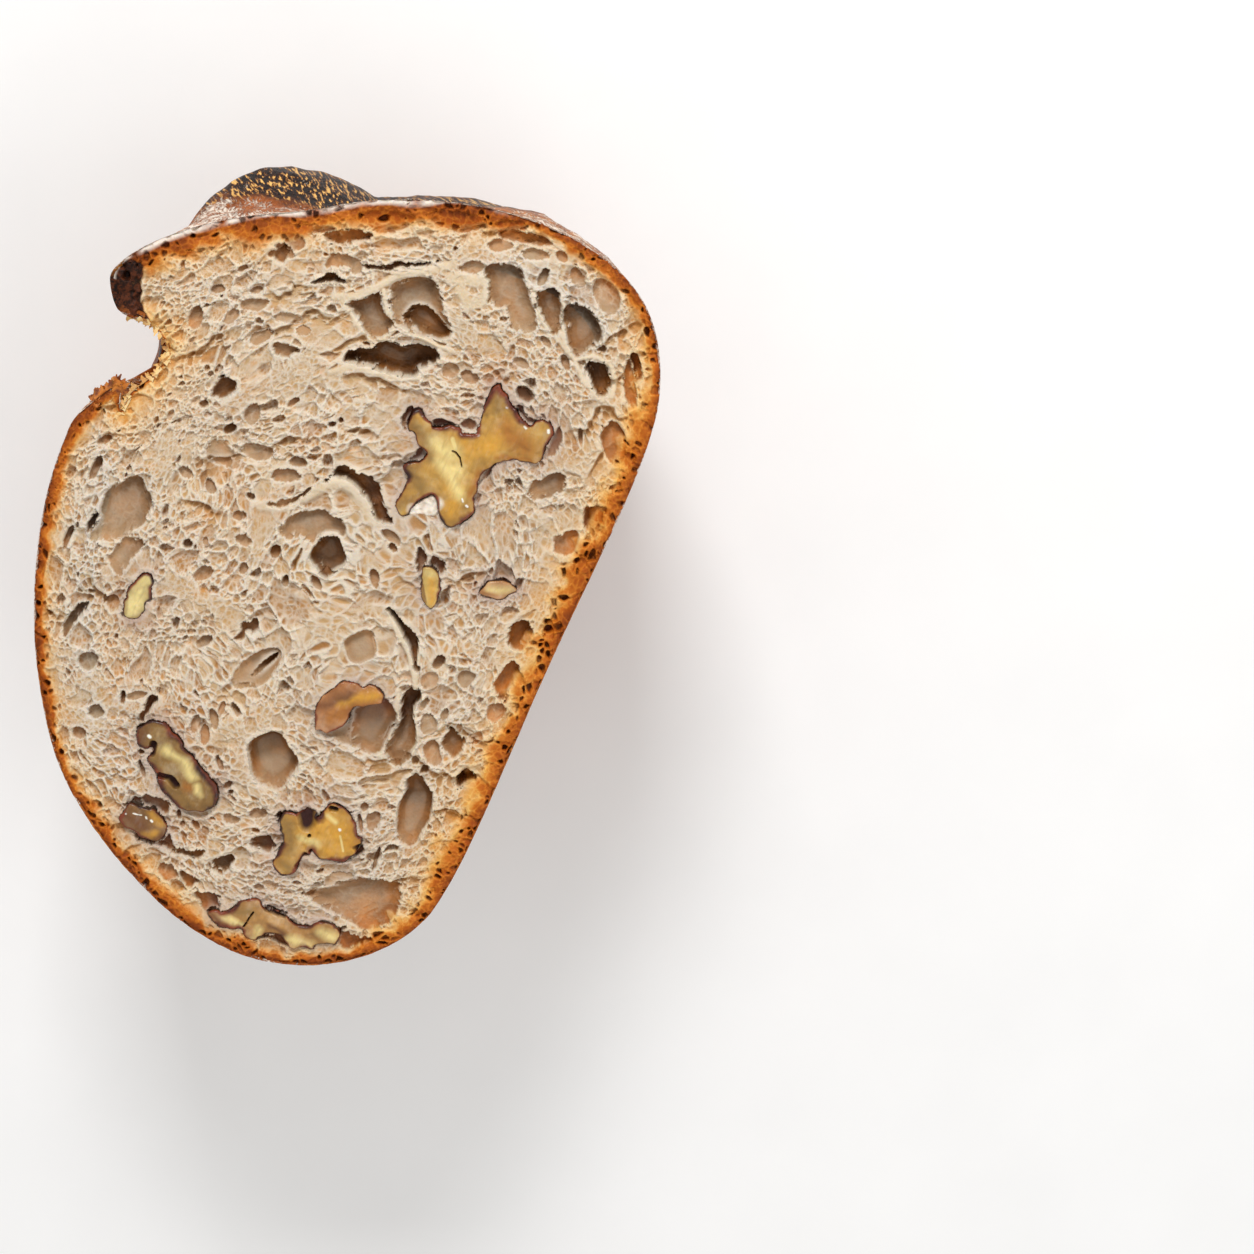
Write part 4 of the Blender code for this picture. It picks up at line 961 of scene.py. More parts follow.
bread = Shader("crumb_finish")
where = bread.spot()
patches = bread.noise(where, 75.0, 3.0)
blotches = bread.noise(where, 210.0, 3.0, 0.6)
fine = bread.noise(where, 900.0, 3.0, 0.65)
tone = bread.ramp(patches, (0.34, rgb(190, 142, 88)), (0.45, rgb(190, 155, 108)), (0.57, rgb(188, 160, 122)),
                  (0.70, rgb(182, 145, 102)))
tone = bread.mix(bread.ramp(bread.values("tint"), (0.0, 0.75), (0.5, 0.0)), tone, rgb(148, 96, 46))
tone = bread.mix(bread.ramp(bread.values("tint"), (0.6, 0.0), (1.0, 0.6)), tone, rgb(212, 190, 156))
tone = bread.mix(bread.ramp(blotches, (0.56, 0.0), (0.72, 0.65)), tone, rgb(208, 146, 80))
# Painted shade: greyer inside the large bubbles and pockets
tone = bread.mix(bread.times(bread.values("hollow"), 0.75), tone, rgb(167, 147, 119))
# Painted shade in the small hollows of the relief
tone = bread.mix(bread.ramp(bread.values("relief_shade"), (0.48, 0.0), (0.78, 0.75)), tone, rgb(138, 88, 42))
# Painted shade where the crumb sinks below the crumb round it
tone = bread.mix(bread.ramp(bread.values("sunk_shade"), (0.0, 0.0), (0.4, 0.5), (1.0, 1.0)),
                 tone, rgb(84, 52, 24))
# Painted shade in the deep bubbles and pockets, darker on one side
tone = bread.mix(bread.ramp(bread.values("dark"), (0.10, 0.0), (0.5, 0.60), (1.0, 0.97)),
                 tone, bread.ramp(blotches, (0.40, rgb(22, 12, 6)), (0.62, rgb(72, 46, 24))))
# Skin stain in the hollows beside nuts, darker where their painted shade falls, and the toasted crumb under
# the crust
stain_in_shade = bread.times(bread.values("stain"), bread.values("dark"))
tone = bread.mix(bread.times(stain_in_shade, 1.8, True), tone, rgb(54, 14, 12))
toast = bread.times(bread.values("toasted"), bread.plus(blotches, 0.42), True)
near_crust = bread.times(bread.values("hollow"), bread.values("toasted"), True)
tone = bread.mix(toast, tone, rgb(212, 146, 66))
tone = bread.mix(near_crust, tone, bread.ramp(blotches, (0.40, rgb(132, 62, 14)), (0.60, rgb(196, 108, 34))))
# The walls, paler than the bowls between them, and every raised place painted paler, partly the walls' own
# colour and partly painted light
pale = bread.mix(toast, rgb(220, 212, 200), rgb(238, 200, 132))
tone = bread.mix(bread.ramp(bread.values("relief_shade"), (0.20, 0.7), (0.44, 0.0)), tone, pale)
tone = bread.mix(bread.times(bread.values("strand"), 0.6), tone, rgb(222, 202, 168))
tone = bread.mix(bread.times(bread.values("wall"), 0.82), tone, pale)
tone = bread.mix(bread.times(bread.values("stain"), 0.46), tone, rgb(140, 90, 84))
# The crust, from its paler inner side out to the burnt skin
baking = bread.plus(bread.values("baked"), bread.times(bread.minus(blotches, 0.5), 1.1))
baking = bread.plus(bread.plus(baking, 0.10), bread.times(bread.values("brown"), -0.24))
rind_tone = bread.ramp(baking, (0.10, rgb(220, 156, 70)), (0.34, rgb(196, 108, 26)), (0.64, rgb(160, 74, 9)),
                       (0.98, rgb(108, 46, 8)))
# Painted shade in the crust's pores
rind_tone = bread.mix(bread.ramp(bread.values("relief_shade"), (0.48, 0.0), (0.80, 0.92)),
                      rind_tone, rgb(74, 28, 6))
rind_wall = bread.ramp(baking, (0.10, rgb(240, 188, 98)), (0.50, rgb(214, 130, 40)), (0.95, rgb(170, 86, 18)))
rind_tone = bread.mix(bread.times(bread.values("wall"), 0.8), rind_tone, rind_wall)
tone = bread.mix(bread.times(bread.values("baked"), 2.4, True), tone, rind_tone)
# Char on the ear and the lip, and flour
char = bread.times(bread.values("char"), bread.plus(fine, 0.45), True)
tone = bread.mix(char, tone, bread.ramp(fine, (0.42, rgb(24, 9, 5)), (0.60, rgb(84, 40, 18))))
tone = bread.mix(bread.times(bread.values("floured"), 0.85), tone, rgb(246, 236, 222))
CRUMB_GLOW = (0.0012, 0.0007, 0.0003)
pimples = bread.node("ShaderNodeTexVoronoi", 0, {"feature": "SMOOTH_F1"}, Vector=where, Scale=1900.0)
crumb_finish = bread.finish(
    Base_Color=tone, Roughness=0.60, Subsurface_Weight=0.16, Subsurface_Radius=CRUMB_GLOW,
    Subsurface_Scale=1.0, Specular_IOR_Level=0.18, Normal=bread.bump(bread.plus(fine, pimples), 0.00018, 0.5))

# Painted shade: how far each point sinks below the crumb farther round it
sunk_shade = unit((farther - 0.45) / 2.4)
# Painted shade where a point lies below the crumb close by, and painted light where it stands above it
relief_shade = unit(0.4 + 0.5 * close_by / 0.55 * (1 - 0.5 * hollow))
char_here = unit(burnt_edge[stretch] * 1.6) * unit(1.5 - inward / (thickness + 0.01))
char_here = np.maximum(char_here * 0.6, tip_here * 1.15)
fields = {
    "wall": wall, "hollow": hollow, "sunk_shade": sunk_shade, "stain": stain, "baked": baked, "toasted": toasted,
    "char": char_here, "relief_shade": relief_shade, "tint": unit(tint), "dark": dark, "brown": brown,
    "floured": floured, "strand": strand * (1 - hollow),
}
field_rows = np.stack([field.ravel() for field in fields.values()], axis=1)
surface, normals = surface.reshape(-1, 3), normals.reshape(-1, 3)
centres = surface[faces].mean(axis=1)[:, 0]
# The face is laid down in blocks side by side, which meet at these places along x
CRUMB_BLOCKS = (-90.0, -38.0, 0.0, 38.0, 90.0)
for number, (start, end) in enumerate(zip(CRUMB_BLOCKS, CRUMB_BLOCKS[1:]), 1):
    chosen = faces[(centres >= start) & (centres < end)]
    points, chosen, rows, directions = used_only(surface, chosen, field_rows, normals)
    crumb = piece(f"crumb_{number}", points, chosen, dict(zip(fields, rows.T)), crumb_finish, directions)
    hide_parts("loaf")


# The torn edge. Where the slash opened, and where the lip was torn, the crumb ends in golden flakes
# and threads that the oven dried; the lip's own are crust, burnt orange-brown.
tearing = np.random.default_rng(5)
LEAF_STEPS = 5
ways = np.roll(cut_edge, -1, axis=0) - np.roll(cut_edge, 1, axis=0)
outwards = np.stack([ways[:, 1], -ways[:, 0]], axis=1) / np.linalg.norm(ways, axis=1, keepdims=True)
flake_points, flake_faces, flake_tone, flake_tip = [], [], [], []
# Each stretch of the edge: its ends, how many flakes, their least and most length, width and drop
# below the cut, how far they turn from straight out, and how burnt they are
FLAKES = (
    (TIP_STATION + 2.0, LIP_STATION - 0.6, 80, (0.9, 2.4), (0.7, 1.9), (0.2, 2.2), 60.0, 0.0),
    (LIP_STATION - 1.1, LIP_STATION + 0.8, 48, (1.4, 3.8), (1.4, 2.8), (0.0, 2.4), 42.0, 1.0),
)
for first, last, count, lengths, widths, drops, spread, burn in FLAKES:
    for _ in range(count):
        place = int(tearing.uniform(first, last) * STATION_STEPS)
        out = outwards[place]
        swing = math.radians(tearing.uniform(-spread, spread))
        way = np.array((out[0] * math.cos(swing) - out[1] * math.sin(swing),
                        out[0] * math.sin(swing) + out[1] * math.cos(swing)))
        length, width = tearing.uniform(*lengths), tearing.uniform(*widths)
        root = cut_edge[place] - out * tearing.uniform(0.3, 0.5) * length
        top = CUT_HEIGHT - 0.9 - tearing.uniform(*drops)
        curl = tearing.uniform(-1.2, 0.7)
        start = len(flake_points)
        for step in range(LEAF_STEPS + 1):
            t = step / LEAF_STEPS
            half = 0.5 * width * (1 - 0.85 * t**2.0) * (0.55 + 0.75 * tearing.random())
            centre = root + way * length * t + tearing.uniform(-0.09, 0.09, 2) * width
            for side in (-1, 1):
                across = np.array((-way[1], way[0])) * half * side
                flake_points.append((*(centre + across), top + curl * t * t + 0.25 * side * half))
                flake_tone.append(burn)
                flake_tip.append(t)
        for step in range(LEAF_STEPS):
            a = start + 2 * step
            flake_faces += [(a, a + 1, a + 3), (a, a + 3, a + 2)]
flake = Shader("torn_finish")
drying = flake.noise(flake.spot(), 500.0, 3.0)
golden = flake.ramp(drying, (0.4, rgb(208, 140, 60)), (0.6, rgb(236, 184, 104)))
crusted = flake.ramp(drying, (0.42, rgb(120, 56, 12)), (0.58, rgb(210, 124, 40)))
tone = flake.mix(flake.values("tip"), rgb(238, 206, 148), golden)
tone = flake.mix(flake.values("burn"), tone, crusted)
torn_finish = flake.finish(
    Base_Color=tone, Roughness=0.55, Subsurface_Weight=0.2, Subsurface_Radius=CRUMB_GLOW,
    Subsurface_Scale=1.0, Normal=flake.bump(drying, 0.0002, 0.6))
fringe = piece("torn_fringe", np.array(flake_points), np.array(flake_faces),
               {"tip": np.array(flake_tip), "burn": np.array(flake_tone)}, torn_finish)


# The crust. The loaf's baked outside: flour from the basket in cracked white islands and streaks
# over orange-brown, a dark burnt edge on the ear and the lip, and a golden torn floor between them.
CRUST_ROWS = 150
# How far the crust below the cut falls in behind it, in mm, at these bearings from the pole
TUCKED = (
    (-60.0, 1.0), (-30.0, 1.6), (-14.0, 1.2), (-6.0, 0.3), (-2.0, 1.0), (3.0, 1.8), (7.0, 3.6), (11.0, 5.4),
    (15.0, 7.6), (18.0, 8.4), (22.0, 6.4), (26.0, 4.4), (30.0, 2.6), (34.0, 1.5), (42.0, 1.3), (46.0, 2.4),
    (50.0, 1.4), (54.0, 0.6), (58.0, 1.0), (62.0, 5.0), (66.0, 6.8), (70.0, 6.4), (74.0, 2.0), (78.0, 0.6),
    (90.0, 0.0),
)
# How far below the cut the scorched part of the ear's back begins and ends, and the bearing that the
# loaf's upper, more floured side faces
SCORCH_TOP, SCORCH_END = 13.0, 64.0
UPPER_BEARING = 24.0

columns = len(cut_edge)
last_turn = math.asin(CUT_HEIGHT / (CUT_HEIGHT + FLATTENED))
depths = (CUT_HEIGHT + FLATTENED) * np.sin(last_turn * np.linspace(0, 1, CRUST_ROWS + 1))
below = depths[:, None]
rings = np.stack([closed_curve(ring(depth), STATION_STEPS) for depth in depths])
levels = np.broadcast_to(CUT_HEIGHT - below[..., None], (*rings.shape[:2], 1))
shell = np.concatenate([rings, levels], axis=-1)
# The smooth shell, over which the random patterns are laid
skin = shell
outward = np.cross(np.roll(shell, -1, axis=1) - np.roll(shell, 1, axis=1), np.gradient(shell, axis=0))
outward /= np.linalg.norm(outward, axis=-1, keepdims=True) + 1e-9
if np.sum(outward * (shell - (0.0, -8.0, CUT_HEIGHT))) < 0:
    outward = -outward

# Swells and wrinkles, none at the cut and at the spot that it rests on, and the falling in
wrinkle = grain(skin * (1.0, 1.0, 0.45), 2.6, 81) + 0.6 * grain(skin * (1.0, 1.0, 0.5), 1.3, 82)
swelling = grain(skin, 15.0, 83) + 0.5 * grain(skin, 6.5, 84)
fade = unit(below / 3.0) * unit((CUT_HEIGHT - below) / 2.0)
lumps = (0.30 * (swelling - 1.3) + 0.20 * (wrinkle - 1.0)) * fade
bearing = np.degrees(np.arctan2(shell[..., 1] - CUT_POLE[1], shell[..., 0] - CUT_POLE[0]))
tuck = np.interp(bearing, *np.array(TUCKED).T) * (unit(below / 12.0) ** 1.5 * fade)
shell = shell + outward * lumps[..., None]
from_axis = (shell - (*CUT_POLE, 0.0)) * (1, 1, 0)
from_axis /= np.linalg.norm(from_axis, axis=-1, keepdims=True) + 1e-9
shell = shell - from_axis * tuck[..., None]

# Its first ring is the crumb's own edge, and the next ones stay below it
rag, tears, swell = edge_drops(shell[0, :, :2], torn_edge)
shell[0, :, 2] = CRUMB_TOP - (rag + swell + tears)
for row in (1, 2, 3):
    shell[row, :, 2] = np.minimum(shell[row, :, 2], shell[row - 1, :, 2] - 0.05)
shell = np.clip(shell, *(np.array(corner) / MM for corner in cad_box))

# Where it is torn, burnt and floured
opened = np.interp(below, SCORE_DEPTH, GROOVE_DEPTH) / GROOVE_DEPTH[0]
on_floor = unit(np.minimum(station - 10.6, 15.6 - station) * 2.0) * unit(opened * 2.5)
lips = np.exp(-((station - TIP_STATION - 0.3) / 1.5) ** 2)
lips = lips + 0.8 * np.exp(-((station - LIP_STATION) / 1.1) ** 2)
# The ear's back lies before the tip, where the closed ring's numbers are the highest
ear_back = np.where(station > 50, station - columns / STATION_STEPS, station)
ear_back = unit((ear_back + 4.0) / 2.0) * unit((9.6 - ear_back) / 1.2)
uneven = 3.5 * grain(skin, 6.0, 88) + 1.6 * grain(skin, 2.0, 89)
scorch = unit((below + uneven - SCORCH_TOP) / 3.0)
scorch = scorch * unit((SCORCH_END + 2 * uneven - below) / 26.0) * ear_back
burnt = unit(lips * opened * (1.05 + 0.7 * grain(skin, 5.0, 85)))
burnt = np.maximum(burnt, scorch)
upper_side = np.cos(np.radians(bearing - UPPER_BEARING)) + 0.3 + 0.5 * grain(skin, 16.0, 98)
upper_side = unit(upper_side / 0.9)
band = unit(1.5 - (below + uneven) / 10.0) * upper_side
dust = 0.50 + 0.5 * grain(skin, 14.0, 86) + 0.35 * grain(skin, 5.0, 87)
dust = dust + 0.7 * band - 1.2 * on_floor - 0.7 * burnt
torn_side = unit(np.minimum(station - 6.2, 19.5 - station)) * unit(2 - below / 10)
rim_dust = unit(1.2 - below / 1.3) * upper_side * (grain(skin, 3.0, 90) > -0.2)
dust = dust - 1.4 * torn_side + 1.1 * rim_dust
dust = dust + 0.35 * upper_side * (1 - ear_back) - 0.6 * unit((-shell[..., 1] - 46) / 6)
dust = unit(dust)

# Its faces, two triangles for each cell, and a fan over the spot that it rests on
index = np.arange((CRUST_ROWS + 1) * columns).reshape(CRUST_ROWS + 1, columns)
a, b = index[:-1], np.roll(index[:-1], -1, axis=1)
c, d = np.roll(index[1:], -1, axis=1), index[1:]
corners = np.stack([a, b, c, d], axis=-1).reshape(-1, 4)
crust_points = np.concatenate([shell.reshape(-1, 3), shell[-1].mean(axis=0, keepdims=True) * (1, 1, 0)])
hub = np.full(columns, len(crust_points) - 1)
cap_faces = np.stack([index[-1], np.roll(index[-1], -1), hub], axis=1)
triangles = np.concatenate([corners[:, [0, 1, 2]], corners[:, [0, 2, 3]], cap_faces])
corner = crust_points[triangles]
if np.einsum("ij,ij->i", corner[:, 0], np.cross(corner[:, 1], corner[:, 2])).sum() < 0:
    triangles = triangles[:, ::-1]

rind = Shader("crust_finish")
where = rind.spot()
drift = rind.node("ShaderNodeTexNoise", 1, None, Vector=where, Scale=60.0, Detail=2.0)
swept = rind.node("ShaderNodeVectorMath", 0, {"operation": "MULTIPLY_ADD"},
                  i0=drift, i1=(0.014,) * 3, i2=where)
slanted = rind.node("ShaderNodeMapping", 0, None, Vector=swept, Scale=(1.0, 1.0, 0.30))
ember_way = rind.node("ShaderNodeMapping", 0, {"vector_type": "TEXTURE"}, Vector=where,
                      Rotation=(0.328, 0.153, 0.0), Scale=(1.0, 1.0, 7.0))
embers = rind.noise(ember_way, 1500.0, 4.0, 0.55)
cracks = rind.node("ShaderNodeTexVoronoi", 0, {"feature": "DISTANCE_TO_EDGE"},
                   Vector=slanted, Scale=420.0)
broad = rind.noise(where, 45.0, 3.0)
wrinkles = rind.noise(slanted, 1100.0, 4.0, 0.60)
streaks = rind.noise(slanted, 1900.0, 5.0, 0.65)
glow = rind.noise(where, 240.0, 4.0, 0.6)
tone = rind.ramp(broad, (0.30, rgb(134, 66, 22)), (0.48, rgb(186, 102, 38)), (0.70, rgb(214, 142, 64)))
tone = rind.mix(rind.ramp(glow, (0.42, 0.8), (0.60, 0.0)), tone, rgb(150, 78, 26))
tone = rind.mix(rind.ramp(wrinkles, (0.36, 0.85), (0.52, 0.0)), tone, rgb(98, 48, 18))
torn_tone = rind.ramp(wrinkles, (0.3, rgb(178, 112, 50)), (0.7, rgb(236, 188, 112)))
tone = rind.mix(rind.values("floor"), tone, torn_tone)
scorched = rind.ramp(embers, (0.42, rgb(20, 8, 5)), (0.52, rgb(48, 23, 13)), (0.56, rgb(150, 96, 44)),
                     (0.62, rgb(234, 184, 104)))
charred = rind.ramp(embers, (0.42, rgb(20, 8, 5)), (0.62, rgb(84, 40, 18)))
scorched = rind.mix(rind.values("flap"), charred, scorched)
tone = rind.mix(rind.values("burnt"), tone, scorched)
# Flour, swept along the basket's coils, broken into islands by fine cracks
flour = rind.plus(rind.values("dust"), rind.times(rind.minus(streaks, 0.52), 3.4))
flour = rind.plus(flour, rind.times(rind.minus(glow, 0.5), 2.4))
flour = rind.ramp(flour, (0.50, 0.0), (1.0, 1.0))
flour = rind.times(flour, rind.ramp(cracks, (0.02, 0.45), (0.07, 1.0)))
tone = rind.mix(rind.times(flour, 0.84), tone, rgb(244, 232, 216))
rough = rind.ramp(flour, (0.0, 0.45), (1.0, 0.95))
height_map = rind.plus(wrinkles, rind.times(flour, 0.35))
crust_finish = rind.finish(Base_Color=tone, Roughness=rough, Specular_IOR_Level=0.14,
                           Normal=rind.bump(height_map, 0.0007, 0.9))
flap = scorch * unit(1.6 - below / 36)
crust_fields = {"flap": flap, "dust": dust, "burnt": burnt, "floor": on_floor}
crust_fields = {label: np.append(field, 0.0) for label, field in crust_fields.items()}
crust = piece("crust", crust_points, triangles, crust_fields, crust_finish)
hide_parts("loaf")


# The nuts' meshes. The knife left each nearly level with the crumb, a little domed and chipped at
# its edge, where the dark skin shows as a thin line.
NUT_STEP = 0.16
# Each nut's own colour
NUT_TONES = {
    "nut_cross": (200, 154, 74), "nut_crook": (148, 112, 58), "nut_twin": (200, 150, 64),
    "nut_rim": (186, 138, 78), "nut_amber": (144, 104, 58), "nut_tan": (188, 128, 78),
    "nut_pale": (204, 184, 128), "nut_sliver": (224, 198, 122), "nut_flake": (214, 168, 122),
}
# How much skin the cut left, as a share
SKINNED = {"nut_flake": 0.1, "nut_sliver": 0.45, "nut_pale": 0.75, "nut_tan": 0.6}
# Zones in the flesh: what, the two ends of its middle line, its width
NUT_MARKS = {
    "nut_cross": (
        ("crumb", 19.3, -17.3, 22.5, -20.6, 2.2),
        ("pale", 33.7, -15.9, 32.7, -19.0, 4.2), ("pale", 30.5, -18.2, 29.7, -21.2, 3.6),
        ("pale", 35.7, -18.3, 34.2, -19.6, 0.8), ("pale", 29.0, -21.1, 25.4, -24.0, 2.5),
        ("gold", 26.2, -22.8, 22.1, -24.1, 3.6), ("gold", 35.8, -21.8, 37.5, -25.5, 5.5),
        ("amber", 41.5, -27.2, 39.9, -32.4, 5.1), ("amber", 35.5, -27.6, 38.0, -34.2, 1.3),
        ("amber", 31.5, -25.7, 27.0, -26.1, 1.7), ("olive", 34.9, -9.9, 33.6, -13.7, 3.2),
        ("olive", 47.8, -23.1, 45.2, -24.0, 3.2), ("olive", 26.5, -12.9, 23.6, -16.9, 3.8),
        ("olive", 32.3, -15.0, 30.5, -16.0, 2.3), ("olive", 20.9, -25.1, 24.1, -25.5, 2.5),
        ("olive", 18.9, -14.3, 20.7, -15.8, 2.1), ("crack", 33.4, -19.3, 33.4, -20.0, 0.3),
        ("crack", 33.4, -20.0, 32.7, -21.2, 0.3), ("crack", 32.7, -21.2, 31.1, -22.3, 0.2),
        ("glint", 38.3, -22.6, 38.4, -22.7, 0.4), ("glint", 43.8, -30.3, 43.6, -30.7, 0.4),
        ("glint", 45.8, -25.5, 45.8, -25.7, 0.3), ("glint", 25.3, -24.9, 24.8, -25.3, 0.3),
        ("glint", 24.3, -26.2, 24.2, -26.5, 0.4), ("glint", 45.0, -34.9, 44.6, -35.1, 0.5)),
    "nut_crook": (
        ("brown", -45.8, 14.5, -47.6, 14.1, 3.0), ("pit", -47.2, 11.7, -49.0, 11.3, 1.2),
        ("pit", -52.7, 8.0, -52.4, 5.8, 1.0), ("pit", -52.6, 5.5, -53.4, 4.2, 1.2),
        ("olive", -50.1, 10.8, -51.4, 9.1, 2.6), ("olive", -49.9, -1.7, -53.1, -3.6, 2.0),
        ("pale", -47.3, 8.8, -47.9, 5.3, 2.4), ("pale", -47.9, 5.3, -50.0, 1.6, 2.4),
        ("pale", -51.9, 0.1, -53.1, -0.7, 1.7), ("amber", -52.7, 2.4, -52.8, 0.9, 2.2),
        ("glint", -45.9, 13.2, -46.0, 12.9, 0.6), ("glint", -52.1, 9.1, -52.1, 9.0, 0.3),
        ("glint", -52.0, 5.4, -52.0, 5.3, 0.3)),
    "nut_amber": (
        ("brown", -63.9, 11.1, -63.9, 7.5, 3.9), ("gold", -61.0, 6.3, -62.0, 3.8, 2.0),
        ("gold", -65.4, 5.7, -64.6, 3.9, 1.7), ("glint", -62.2, 7.2, -62.4, 7.0, 0.3),
        ("glint", -62.3, 6.0, -62.4, 5.7, 0.4), ("glint", -63.1, 11.3, -63.1, 11.2, 0.3),
        ("glint", -62.4, 9.9, -62.2, 8.2, 0.2), ("brown", -65.7, 3.7, -64.3, 2.8, 1.1)),
    "nut_twin": (
        ("pit", -48.4, -22.6, -49.9, -23.2, 2.9), ("pit", -59.0, -25.6, -56.7, -25.7, 1.4),
        ("pit", -52.2, -24.6, -52.3, -24.6, 0.6), ("pit", -55.3, -26.2, -55.4, -26.2, 0.6),
        ("pit", -50.8, -34.8, -51.4, -35.5, 1.3), ("pit", -45.1, -26.4, -44.8, -27.4, 0.8),
        ("gold", -49.4, -25.9, -49.2, -31.4, 7.3), ("amber", -46.4, -31.9, -49.8, -33.8, 2.2),
        ("pale", -46.6, -26.3, -47.3, -28.4, 1.1), ("pale", -49.7, -30.4, -52.5, -32.2, 0.4),
        ("glint", -48.4, -29.7, -48.5, -29.8, 0.5), ("pale", -53.6, -23.1, -53.2, -26.6, 1.7),
        ("gold", -53.4, -28.8, -54.3, -30.5, 1.7), ("olive", -51.3, -19.5, -56.6, -21.7, 3.1),
        ("olive", -59.9, -21.7, -60.3, -23.7, 3.1)),
    "nut_rim": (
        ("crack", -72.3, -20.6, -73.3, -20.4, 0.3), ("crack", -73.7, -20.3, -74.5, -20.2, 0.3),
        ("crack", -74.9, -20.2, -76.0, -20.0, 0.3), ("olive", -73.2, -17.3, -72.4, -19.7, 2.5),
        ("pale", -75.2, -15.6, -75.6, -19.2, 1.4), ("pale", -74.5, -30.0, -74.3, -33.9, 2.2),
        ("pale", -70.6, -34.9, -70.7, -37.7, 2.5), ("pale", -74.8, -22.9, -77.1, -22.8, 1.7),
        ("brown", -73.2, -24.7, -74.2, -28.9, 1.4), ("pit", -70.7, -22.8, -70.5, -26.7, 0.7),
        ("brown", -76.1, -12.9, -77.1, -16.7, 1.7)),
    "nut_sliver": (
        ("pale", 8.6, -24.3, 8.8, -25.6, 1.5), ("gold", 7.2, -26.0, 3.2, -28.0, 2.8),
        ("brown", 5.7, -24.6, 2.6, -26.6, 0.7)),
    "nut_pale": (
        ("pale", -16.2, 26.5, -22.9, 26.1, 3.7), ("brown", -21.1, 28.1, -23.8, 27.2, 0.7)),
    "nut_tan": (
        ("brown", -25.9, -16.1, -20.7, -20.5, 2.4), ("amber", -27.5, -18.9, -20.5, -24.0, 3.3),
        ("gold", -23.5, -19.5, -18.9, -25.5, 2.4)),
    "nut_flake": (
        ("pale", 10.6, -37.2, 12.2, -40.8, 2.0), ("amber", 9.3, -36.3, 9.9, -39.0, 1.1)),
}
# The zones' colours: those within the flesh, and those laid over it, the glints among them being painted
# highlights
FLESH_ZONES = (
    ("olive", (146, 114, 62)), ("amber", (172, 108, 38)), ("gold", (218, 160, 56)), ("brown", (112, 70, 40)),
    ("pale", (242, 220, 148)),
)
LAID_ON_ZONES = (("crumb", (232, 222, 204)), ("pit", (50, 14, 8)), ("glint", (255, 250, 236)))


def walnut_finish(name):
    """Oily cut walnut: its own yellow, clouded and grained, with its zones, its painted highlights and its
    dark skin.
    """
    nut = Shader(name + "_finish")
    where = nut.spot()
    cloud = nut.noise(where, 190.0, 4.0, 0.6)
    grained = nut.node("ShaderNodeMapping", 0, None,
                       Vector=where, Rotation=(0.0, 0.0, 0.9), Scale=(1.0, 4.0, 1.0))
    lines = nut.noise(grained, 300.0, 2.0)
    own = np.array(NUT_TONES[name])
    tone = nut.ramp(cloud, (0.32, rgb(*(own * 0.84))), (0.50, rgb(*own)), (0.68, rgb(*(own * 0.72 + 70))))
    for zone, colour in FLESH_ZONES:
        tone = nut.mix(nut.times(nut.values(zone), 0.85), tone, rgb(*colour))
    tone = nut.mix(nut.ramp(lines, (0.48, 0.0), (0.72, 0.32)), tone, rgb(*(own * 0.76)))
    tone = nut.mix(nut.times(nut.values("shore"), 0.80), tone, rgb(*(own * (0.72, 0.60, 0.42))))
    # Laid over the flesh: stuck crumb, dark pits, and glints that are painted highlights
    for zone, colour in LAID_ON_ZONES:
        tone = nut.mix(nut.values(zone), tone, rgb(*colour))
    skin_tone = nut.ramp(cloud, (0.40, rgb(46, 14, 12)), (0.60, rgb(128, 58, 30)))
    tone = nut.mix(nut.values("skin"), tone, skin_tone)
    matt = nut.ramp(nut.values("pit"), (0.0, 0.30), (1.0, 0.85))
    return nut.finish(Base_Color=tone, Roughness=matt, Subsurface_Weight=0.20,
                      Subsurface_Radius=(0.003, 0.0018, 0.0006), Subsurface_Scale=1.0,
                      Specular_IOR_Level=0.5, Normal=nut.bump(nut.plus(lines, cloud), 0.00035, 0.55))


